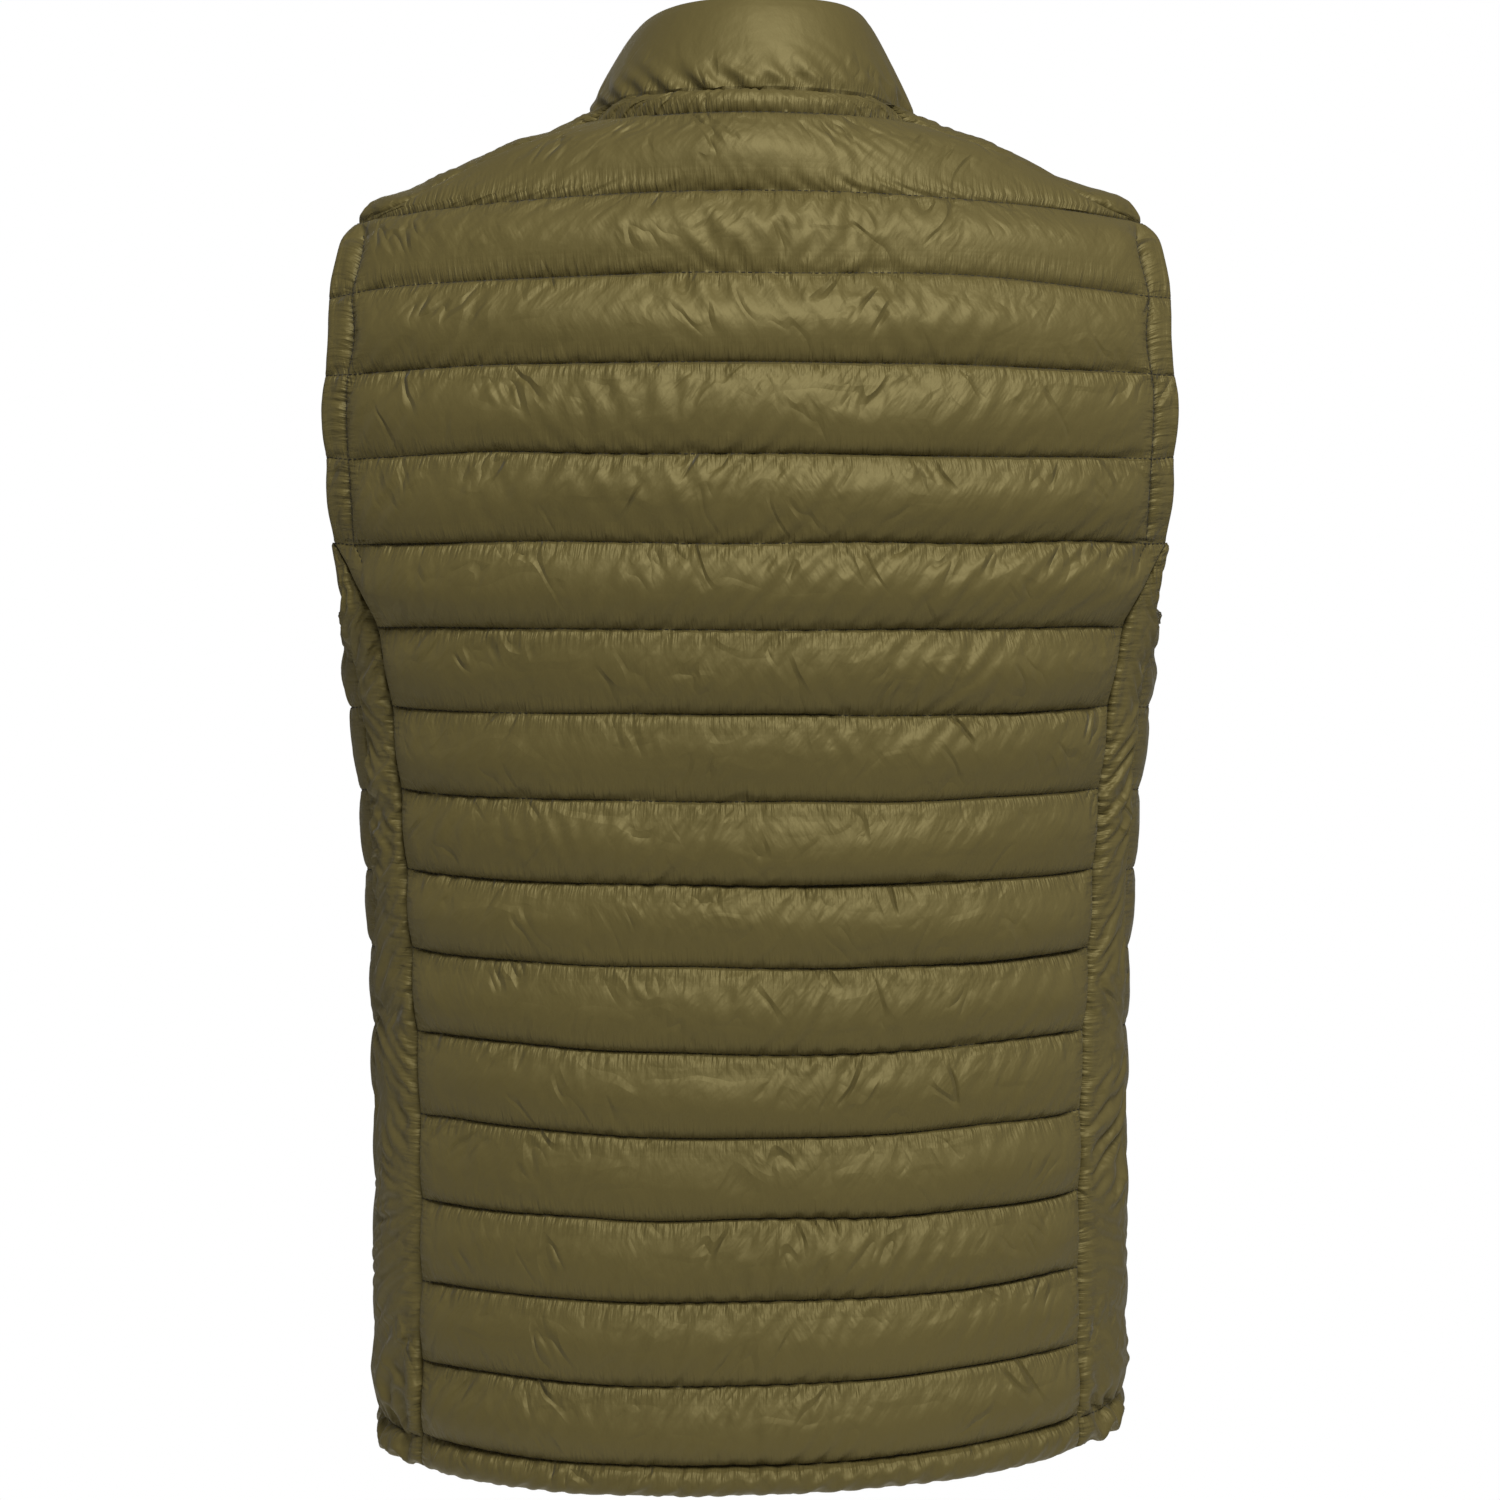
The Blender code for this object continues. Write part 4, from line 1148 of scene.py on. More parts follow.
@dataclass
class SidePanel(Panel):
    """The plain piece under the arm, pointed at its top."""

    roughness: float = 0.0008
    spare: float = 0.075
    slant: float = -0.14

    def rows(self) -> Rows:
        """The hem's band, then one long soft bulge up to the point.

        Returns:
            The rows.
        """
        hem = hem_rows()
        z = HEM_SEAM + (TIP - HEM_SEAM) * np.linspace(0, 1, 320)[:-1]
        bulge = SIDE_PUFF * ease((z - HEM_SEAM + 0.002) / 0.022) * np.clip((TIP - z) / 0.016, 0, 1) ** 0.5
        line = np.arange(len(z)) == 0
        return stacked([hem, Rows(z, bulge, line)], TIP)

    def stations(self, length: Array) -> Array:
        """Even columns, fine enough for sharp folds."""
        return length[:, None] * np.linspace(0, 1, 44)[None]

    def ends(self, z: Array) -> tuple[Array, Array, Array]:
        """From the front's seam, or the armhole above it, to the back's seam."""
        front_y = np.where(z < ARM_LOW, monotone(SIDE_SEAM_Y, z), monotone(ARMHOLE_LOW_Y, z))
        return BODY.angle_at_y(front_y, z), BODY.angle_at_x(monotone(BACK_SEAM_X, z), z), np.zeros(z.shape)

    def widths(self, z: Array, base: Array, first: Array, last: Array) -> tuple[Array, Array]:
        """A soft bulge across, sin(pi t)^0.75, lower where the piece is narrow.

        Args:
            z: the rows' heights.
            base: the laid points, rows x columns x 3.
            first: each point's distance from its row's start.
            last: each point's distance from its row's end.

        Returns:
            Each point's share of the rise, and True where the cloth is sewn.
        """
        width = first + last
        across = first / np.maximum(width, 1e-9)
        room = np.clip(width / 0.030, 0, 1)
        return np.sin(math.pi * np.clip(across, 0, 1)) ** 0.75 * room, np.zeros(first.shape, bool)

    def slack(self, base: Array, rows: Rows, first: Array, last: Array) -> tuple[Array, Array, Array]:
        """Plenty of spare cloth both ways, because nothing quilts it flat.

        Args:
            base: the laid points, rows x columns x 3.
            rows: the piece's rows.
            first: each point's distance from its row's start.
            last: each point's distance from its row's end.

        Returns:
            Spare share along the rows, spare share across them, and the slant.
        """
        shape = first.shape
        spare_u = self.spare * np.clip(1 + 0.9 * cloudy(shape, 11, 10, self.seed + 2), 0, 3)
        spare_v = self.spare * np.clip(1 + 1.0 * cloudy(shape, 7, 9, self.seed + 4), 0, 3)
        slant = self.slant * np.clip(0.5 + 1.2 * cloudy(shape, 12, 12, self.seed + 3), -1.5, 2.5)
        return spare_u, spare_v, slant

    @staticmethod
    def upper(rows: Rows) -> Array:
        """Folds have room everywhere above the hem."""
        return np.where(rows.z > HEM_SEAM + 0.004, 1.0, 0.0)


@dataclass
class ShoulderStrip(Panel):
    """The narrow strip along the shoulder, between the back's seam and the front's."""

    folds: float = 1.4
    spare: float = 0.025
    slant: float = 0.04

    def rows(self) -> Rows:
        """One bulge from the armhole to the neck.

        Returns:
            The rows.
        """
        share = np.linspace(0, 1, 120)
        z = SHOULDER_LOW + (SHOULDER_HIGH - SHOULDER_LOW) * share
        rise = STRIP_PUFF * np.clip(np.sin(math.pi * share), 0, 1) ** 0.35
        return Rows(z, rise, np.zeros(120, bool))

    def stations(self, length: Array) -> Array:
        """Even columns: the strip is too narrow for fixed edges."""
        return length[:, None] * (0.5 - 0.5 * np.cos(math.pi * np.linspace(0, 1, 26)[None])) ** 0.85

    def ends(self, z: Array) -> tuple[Array, Array, Array]:
        """From the front's shoulder seam to the back's.

        Args:
            z: the rows' heights.

        Returns:
            Start angle, end angle and sag of each row.
        """
        front = BODY.angle_at_y(polyline(STRIP_FRONT_Y, z), z)
        x = polyline(SHOULDER_SEAM_X, np.maximum(z, SHOULDER_LOW))
        return front, BODY.angle_at_x(x, z), np.zeros(z.shape)

    def widths(self, z: Array, base: Array, first: Array, last: Array) -> tuple[Array, Array]:
        """A round bulge across: sin(pi t)^0.6."""
        across = first / np.maximum(first + last, 1e-9)
        return np.sin(math.pi * np.clip(across, 0, 1)) ** 0.6, np.zeros(first.shape, bool)

    def slack(self, base: Array, rows: Rows, first: Array, last: Array) -> tuple[Array, Array, Array]:
        """Spare length along the strip makes the wrinkles across it.

        Args:
            base: the laid points, rows x columns x 3.
            rows: the piece's rows.
            first: each point's distance from its row's start.
            last: each point's distance from its row's end.

        Returns:
            Spare share along the rows, spare share across them, and the slant.
        """
        shape = first.shape
        spare_v = self.spare * np.clip(1 + 0.8 * cloudy(shape, 5, 6, self.seed + 4), 0, 3)
        slant = self.slant * cloudy(shape, 6, 8, self.seed + 3)
        return np.full(shape, 0.01), spare_v, slant

    def keep_stitches(self, settled: Array, normal: Array) -> None:
        """Thread along both shoulder seams."""
        for column in (2, -3):
            self.stitches.append((settled[2:-2, column], normal[2:-2, column]))


# ----------------------------------------------------------------- the collar
RIM_HALF_WIDTH, RIM_BACK, RIM_FRONT, RIM_HIGH, RIM_LOW = 0.0625, 0.0500, -0.0860, 0.0730, 0.0080
RIM_CURVE = {Side.LEFT: (1.15, 2.0), Side.RIGHT: (0.84, 2.4)}  # power of the ellipse, power of the fall
COLLAR_PUFF = 0.0036
COLLAR_DEEP = 0.0022  # how far in the collar's cloth can sink
TUCK_SHARE, TUCK_IN = 0.035, 0.0016  # how the collar's edge dips into the neck seam
SHOULDER_NECK = STRIP_FRONT_Y[3:]  # the neck seam over the shoulder: z, y
BACK_NECK_X = 0.0600  # where the neck seam passes from the shoulder strip to the back
OUTER_ROWS, CROWN_ROWS, INNER_ROWS = 43, 12, 18  # up the outside, over the rim, down the inside
COLLAR_PROFILE = (
    # share of the height, share of the puff, wall behind the sewn surface
    (0.00, 0.00, 0.0030), (0.12, 0.62, 0.0031), (0.30, 0.92, 0.0033), (0.50, 1.00, 0.0036),
    (0.72, 0.90, 0.0040), (0.90, 0.62, 0.0044), (0.98, 0.20, 0.0046),
)


def evened(values: Array, passes: int = 24) -> Array:
    """A run of values with its corners smoothed away and its ends kept."""
    for _ in range(passes):
        values = values.copy()
        values[1:-1] = (values[:-2] + 2 * values[1:-1] + values[2:]) / 4
    return values


@dataclass
class Collar:
    """The standing collar: one cloth up its outside, over the rim and down its inside."""

    seed: int = 71
    half_columns: int = 136
    stitches: list[tuple[Array, Array]] = field(default_factory=list)

    def seam(self) -> Array:
        """The neck seam on the figure, from the zip round to the centre of the back.

        Returns:
            Points of the seam, n x 3.
        """
        z, x = np.array(NECK_FRONT_X).T
        front = BODY.at(-BODY.angle_at_x(x, z), z)
        z, y = np.array(SHOULDER_NECK).T
        side = BODY.at(BODY.angle_at_y(y, z), z)
        x = np.linspace(BACK_NECK_X, 0, 30)
        z = np.full(x.shape, NECK_TOP)
        back = BODY.at(BODY.angle_at_x(x, z), z)
        return np.concatenate([front, side, back])

    @staticmethod
    def rim(share: Array, side: Side) -> Array:
        """The upper edge, a squarish ellipse that falls towards the zip, at shares of its length.

        Args:
            share: of the edge's length, from the zip.
            side: of the vest.

        Returns:
            Points of the rim, n x 3.
        """
        power, fall = RIM_CURVE[side]
        start = -math.acos((ZIP_EDGE / RIM_HALF_WIDTH) ** (1 / power))
        angle = np.linspace(start, math.pi / 2, 400)
        x = RIM_HALF_WIDTH * np.clip(np.cos(angle), 0, 1) ** power
        reach = np.sign(angle) * np.abs(np.sin(angle)) ** power
        y = (RIM_BACK + RIM_FRONT) / 2 + (RIM_BACK - RIM_FRONT) / 2 * reach
        z = RIM_HIGH - (RIM_HIGH - RIM_LOW) * np.clip((RIM_BACK - y) / (RIM_BACK - RIM_FRONT), 0, 1) ** fall
        p = np.stack([x, y, z], 1)
        along = lengths(p)
        return sampled(p, along, share * along[-1])

    def frame(self, half: Side = Side.LEFT) -> tuple[Array, Array, Array, Array]:
        """Half the collar: the seam's line, the way up to the rim, the way out, the edge's share.

        Args:
            half: of the collar.

        Returns:
            Those four, each with one row for a column of the cloth.
        """
        seam = self.seam()
        normal = BODY.outward(seam)
        along = unit(np.gradient(seam, axis=0))
        on = np.cross(along, normal)
        on = unit(on * np.sign((on * (np.array((0.0, -0.02, 0.10)) - seam)).sum(1))[:, None])
        base = seam + normal * (WALL + 0.0004) + on * 0.0006
        base[0, 0], base[-1, 0] = ZIP_EDGE, 0.0
        length = lengths(base)
        rim = self.rim(length / length[-1], half)
        up = rim - base
        out = unit(np.cross(up, np.gradient(base + rim, axis=0)))
        out *= np.sign((out * (base - (0, -0.02, 0))).sum(1))[:, None]
        out[[0, -1], 0] = 0.0
        edge = np.clip(length / 0.02, 0.15, 1) ** 0.6
        share = np.linspace(0, 1, self.half_columns)
        even = np.concatenate([[0], np.cumsum(np.diff(share) * (0.45 + 0.55 * ease(share[1:] / 0.08)))])
        even = even / even[-1] * length[-1]
        base, up, out = (evened(sampled(values, length, even)) for values in (base, up, out))
        return base, up, unit(out), np.interp(even, length, edge)

    def profile(self, half: Side) -> tuple[Array, Array]:
        """Rows of half the collar round its section, and each row's share of the height.

        Args:
            half: of the collar.

        Returns:
            Rows x columns x 3, and the share of each row.
        """
        base, up, out, edge = self.frame(half)
        share, puff, behind = np.array(COLLAR_PROFILE).T
        rows, heights = [], []
        rows.append(base - up * TUCK_SHARE - out * TUCK_IN)
        heights.append(0.0)
        for s in np.linspace(0, 0.93, OUTER_ROWS):
            shape = COLLAR_PUFF * float(monotone(list(zip(share, puff)), s))
            rows.append(base + up * s + out * (shape * edge)[:, None])
            heights.append(s)
        outer_top, inner_top = rows[-1], base + up * 0.90 - out * 0.0044
        crown = base + up * 1.03 - out * 0.0022
        for t in np.linspace(0, math.pi, CROWN_ROWS + 2)[1:-1]:
            side = outer_top if t < math.pi / 2 else inner_top
            middle = (outer_top + inner_top) / 2
            wide, high = abs(math.cos(t)) ** 0.8, math.sin(t) ** 0.8
            rows.append(middle + (side - middle) * wide + (crown - middle) * high)
            heights.append(1.0)
        for s in np.linspace(0.90, 0, INNER_ROWS):
            rows.append(base + up * s - out * float(polyline(list(zip(share, behind)), s)))
            heights.append(s)
        rows[-1] = base - unit(out * (1, 1, 0)) * 0.0030
        return np.stack(rows), np.array(heights)

    def build(self, relaxer: Relaxer) -> bpy.types.Object:
        """Makes the whole collar, settled and closed along its seam and at the zip.

        Args:
            relaxer: what settles the cloth.

        Returns:
            The piece.
        """
        left, heights = self.profile(Side.LEFT)
        right, _ = self.profile(Side.RIGHT)
        target = np.concatenate([left, (right * (-1, 1, 1))[:, -2::-1]], 1)
        rows, columns = target.shape[:2]
        normal = unit(np.cross(np.gradient(target, axis=1), np.gradient(target, axis=0)))
        outer = len(heights) - INNER_ROWS
        along = lengths(target[0])
        rise = np.full((rows, columns), COLLAR_DEEP)
        base = target - normal * COLLAR_DEEP
        pinned = np.zeros((rows, columns), bool)
        pinned[[0, -1]] = pinned[:, [0, -1]] = True
        low = np.exp(-heights / 0.17)[:, None]
        patchy = cloudy((rows, columns), 8, 7, self.seed + 2)
        spare_u = (0.002 + 0.080 * low) * np.clip(1 + 0.9 * patchy, 0, 3)
        spare_v = 0.012 * np.clip(1 + cloudy((rows, columns), 5, 14, self.seed + 4), 0, 3)
        slant = 0.22 * low * np.clip(0.6 + 0.9 * cloudy((rows, columns), 10, 16, self.seed + 3), -0.5, 2.2)
        spare_u[outer:] *= 0.3
        settled = relaxer.settle(Sheet(base, normal, rise, pinned, spare_u, spare_v, slant), self.seed)
        kept = np.clip(0.15 + 1.3 * np.exp(-heights / 0.25), 0, 1)[:, None, None]
        settled = target + (settled - target) * kept
        self.stitches.append((settled[0, 1:-1] + normal[0, 1:-1] * 0.0002, normal[0, 1:-1]))
        faces = grid_faces(rows, columns).tolist()
        last = (rows - 1) * columns
        faces += [[last + c, last + c + 1, c + 1, c] for c in range(columns - 1)]
        faces.append([r * columns for r in range(rows)])
        faces.append([r * columns + columns - 1 for r in reversed(range(rows))])
        flat = np.stack(np.broadcast_arrays(along[None], (heights * 0.05)[:, None]), -1)
        # line_near here also darkens the collar's colour along its neck seam, as painted shade.
        ticks = np.exp(-heights / 0.07)[:, None] * np.ones((1, columns))
        ticks[outer:] = 0.0
        folds = 0.7 * ease((0.6 - heights) / 0.5)[:, None] * np.ones((1, columns))
        marks = {"line_near": ticks, "seam_near": np.zeros((rows, columns)), "fold_room": folds}
        return mesh_object("collar_cloth", settled.reshape(-1, 3), faces, flat.reshape(-1, 2), marks)


# -------------------------------------------------------------------- the zip
TAPE_NEAR, TAPE_FAR, TAPE_THICK = 0.0010, 0.0130, 0.0009
CHAIN_TOP, ZIP_BOTTOM = -0.0060, -0.6815
# Blocks at the zip's lower end: middle x, lower end z, width, length, depth.
STOPS = (
    (0.0, -0.6830, 0.0092, 0.0085, 0.0034),
    (-0.0027, -0.6745, 0.0026, 0.0130, 0.0030),
    (0.0027, -0.6745, 0.0026, 0.0130, 0.0030),
)
TOOTH_PITCH, TOOTH_LONG, TOOTH_WIDE, TOOTH_DEEP = 0.0026, 0.0042, 0.0016, 0.0024


class Zip:
    """Tapes and teeth, on the line where the fronts meet."""

    def __init__(self, collar: Collar) -> None:
        """Works out the zip's line from the fronts' inner face and the collar's."""
        self.near = self.line(collar, ZIP_EDGE)
        self.far = self.line(collar, TAPE_FAR)

    @staticmethod
    def line(collar: Collar, x: float) -> Array:
        """The inner face this far from the middle, as (y, z) from the hem up.

        Args:
            collar: the collar that the zip runs up into.
            x: the distance from the middle.

        Returns:
            The line, n x 2.
        """
        z = np.concatenate([np.arange(ZIP_BOTTOM, -0.052, 0.0043), [-0.0490]])
        low = BODY.at(-BODY.angle_at_x(np.full(z.shape, x), z), z)[:, 1:]
        base, up, out, _ = collar.frame()
        share, _, behind = np.array(COLLAR_PROFILE).T
        rows = []
        for s, back in zip(share[1:], behind[1:]):
            row = base + up * s - out * back
            rows.append([np.interp(x, row[:12, 0], row[:12, 1]), np.interp(x, row[:12, 0], row[:12, 2])])
        return np.concatenate([low, rows])

    @staticmethod
    def inward(line: Array) -> Array:
        """The way into the vest across a line of (y, z)."""
        along = unit(np.gradient(line, axis=0))
        return np.stack([along[:, 1], -along[:, 0]], 1)

    def tape(self, name: str, side: Side) -> bpy.types.Object:
        """A woven strip behind a front's edge: a closed, slightly uneven band.

        Args:
            name: of the piece.
            side: of the vest.

        Returns:
            The tape.
        """
        columns = 9
        t = np.linspace(0, 1, columns)
        near, far = (1 - t)[None, :, None], t[None, :, None]
        line = self.near[:, None] * near + self.far[:, None] * far
        way = self.inward(self.near)[:, None] * near + self.inward(self.far)[:, None] * far
        wave = 0.00010 * cloudy(line.shape[:2], 3, 3, 91 if side is Side.LEFT else 92)
        x = side.value * (TAPE_NEAR + (TAPE_FAR - TAPE_NEAR) * t)
        layers = []
        for depth in (0.0006, 0.0006 + TAPE_THICK):
            yz = line + way * (depth + np.maximum(wave, 0))[..., None]
            layers.append(np.concatenate([np.broadcast_to(x[None, :, None], (*line.shape[:2], 1)), yz], -1))
        front, back = layers
        ring = np.concatenate([front, back[:, ::-1]], 1)
        if side is Side.LEFT:
            ring = ring[:, ::-1]
        rows, around = ring.shape[:2]
        faces = tube_faces(rows, around)
        flat = np.stack(np.broadcast_arrays(np.arange(around)[None] * 0.0012, self.near[:, 1:]), -1)
        return mesh_object(name, ring.reshape(-1, 3), faces, flat.reshape(-1, 2), sharp=40)

    def teeth(self) -> bpy.types.Object:
        """Two rows of moulded teeth that mesh, each a block with a rounded, bevelled head.

        Returns:
            The chain with its stops.
        """
        step = lengths(self.near)
        end = float(np.interp(CHAIN_TOP - 0.004, self.near[:, 1], step))
        at = np.arange(0.0015, end, TOOTH_PITCH / 2)
        y, z = (np.interp(at, step, self.near[:, i]) for i in (0, 1))
        way = self.inward(self.near)
        iy, iz = (np.interp(at, step, way[:, i]) for i in (0, 1))
        side = np.where(np.arange(len(at)) % 2 == 0, 1.0, -1.0)
        # The tooth's outline from above: across the chain and along it, in halves of its size.
        outline = (
            (1.0, -0.7), (1.0, 0.7), (-0.2, 0.7), (-0.55, 1.0), (-0.9, 0.75),
            (-1.0, 0.0), (-0.9, -0.75), (-0.55, -1.0), (-0.2, -0.7),
        )
        rings = []
        for depth, size in ((-0.5, 0.80), (-0.36, 1.0), (0.36, 1.0), (0.5, 0.80)):
            for across, lengthwise in outline:
                dx = side * (across * size * TOOTH_LONG / 2 + 0.00045)
                dl, dd = lengthwise * size * TOOTH_WIDE / 2, depth * TOOTH_DEEP + 0.0001
                rings.append(np.stack([dx, y + iy * dd + iz * dl, z + iz * dd + iy * dl], 1))
        points = np.stack(rings, 1)
        n = len(outline)
        faces = []
        for k in range(len(at)):
            turned = side[k] > 0
            for face in tube_faces(4, n):
                ring = [4 * n * k + v for v in face]
                faces.append(ring[::-1] if turned else ring)
        stops, more = self.stops()
        faces += [[v + len(at) * 4 * n for v in face] for face in more]
        return mesh_object("zip_teeth", np.concatenate([points.reshape(-1, 3), stops]), faces, sharp=35)

    def stops(self) -> tuple[Array, list[list[int]]]:
        """The box and pin sleeve at the zip's lower end: three chamfered blocks.

        Returns:
            Points and faces.
        """
        outline = ((-1, -0.8), (-0.8, -1), (0.8, -1), (1, -0.8), (1, 0.8), (0.8, 1), (-0.8, 1), (-1, 0.8))
        n = len(outline)
        points, faces = [], []
        for x, low, wide, long, deep in STOPS:
            y = float(np.interp(low, self.near[:, 1], self.near[:, 0]))
            for depth, size in ((-0.5, 0.85), (-0.38, 1.0), (0.38, 1.0), (0.5, 0.85)):
                for a, b in outline:
                    high = low + long / 2 * (1 + b * size)
                    points.append((x + a * size * wide / 2, y + depth * deep, high))
            first = len(points) - 4 * n
            faces += [[first + v for v in face] for face in tube_faces(4, n)]
        return np.array(points), faces


def softened(source: bpy.types.Object, name: str, width: float) -> bpy.types.Object:
    """A copy of a solid with its corners joined and its edges bevelled.

    Args:
        source: the solid.
        name: of the piece.
        width: of the bevel, in metres.

    Returns:
        The copy.
    """
    obj = bpy.data.objects.new(name, source.data.copy())
    bpy.context.scene.collection.objects.link(obj)
    built = bmesh.new()
    built.from_mesh(obj.data)
    bmesh.ops.remove_doubles(built, verts=built.verts, dist=1e-6)
    bmesh.ops.dissolve_limit(built, angle_limit=math.radians(2), verts=built.verts, edges=built.edges)
    built.to_mesh(obj.data)
    built.free()
    bevel = obj.modifiers.new("edges", "BEVEL")
    bevel.width, bevel.segments, bevel.limit_method = width, 3, "ANGLE"
    bevel.angle_limit, bevel.harden_normals = math.radians(35), False
    obj.data.shade_smooth()
    obj.data.set_sharp_from_angle(angle=math.radians(35))
    return obj


# --------------------------------------------------------------- the finishes
Tree = bpy.types.NodeTree
Socket = bpy.types.NodeSocket
MIX_FIRST, MIX_SECOND, MIX_RESULT = 6, 7, 2  # the Mix node's colour sockets


def add_node(
    tree: Tree, kind: str, settings: dict | None = None, links: dict | None = None
) -> bpy.types.Node:
    """Adds a shader node.

    Args:
        tree: the node tree.
        kind: the node's type, without "ShaderNode".
        settings: properties by attribute name, or socket values by input name or number.
        links: the output that feeds each named or numbered input.

    Returns:
        The node.
    """
    node = tree.nodes.new("ShaderNode" + kind)
    for key, value in (settings or {}).items():
        if isinstance(key, str) and hasattr(node, key):
            setattr(node, key, value)
        else:
            node.inputs[key].default_value = value
    for key, output in (links or {}).items():
        tree.links.new(output, node.inputs[key])
    return node


def new_material(name: str) -> tuple[bpy.types.Material, Tree, bpy.types.Node]:
    """A material with only its Principled shader and output.

    Args:
        name: of the material.

    Returns:
        The material, its node tree and its shader.
    """
    material = bpy.data.materials.new(name)
    material.use_nodes = True
    return material, material.node_tree, material.node_tree.nodes["Principled BSDF"]


def cells(
    tree: Tree, place: Socket, spread: tuple[float, float, float], detail: float = 2.0
) -> Socket:
    """A cloudy pattern about 0.5, stretched part by part.

    Args:
        tree: the node tree.
        place: where the pattern is read, in metres.
        spread: its cells a metre along each axis, 1000 over their size in millimetres.
        detail: octaves of finer cells on top.

    Returns:
        The pattern.
    """
    stretched = add_node(tree, "VectorMath", {"operation": "MULTIPLY", 1: spread}, {0: place})
    links = {"Vector": stretched.outputs[0]}
    return add_node(tree, "TexNoise", {"Scale": 1.0, "Detail": detail}, links).outputs[0]


def layered(tree: Tree, layers: Sequence[tuple[Sequence[Socket], float]]) -> Socket:
    """The sum over all layers of the product of their patterns times their weight.

    Args:
        tree: the node tree.
        layers: each layer's patterns and its weight.

    Returns:
        The sum.
    """
    result: Socket | None = None
    for (pattern, *masks), weight in layers:
        for mask in masks:
            both = {0: pattern, 1: mask}
            pattern = add_node(tree, "Math", {"operation": "MULTIPLY"}, both).outputs[0]
        part = add_node(tree, "Math", {"operation": "MULTIPLY", 1: weight}, {0: pattern}).outputs[0]
        if result is not None:
            part = add_node(tree, "Math", {"operation": "ADD"}, {0: result, 1: part}).outputs[0]
        result = part
    return result


def finish(tree: Tree, shader: bpy.types.Node, height: Socket, values: dict[str, object]) -> None:
    """Gives a material's shader its relief and its settings.

    Args:
        tree: the node tree.
        shader: the Principled shader.
        height: of the surface, in metres.
        values: of the shader's inputs, by name.
    """
    bump = add_node(tree, "Bump", {"Strength": 1.0, "Distance": 1.0}, {"Height": height})
    tree.links.new(bump.outputs[0], shader.inputs["Normal"])
    for key, value in values.items():
        shader.inputs[key].default_value = value


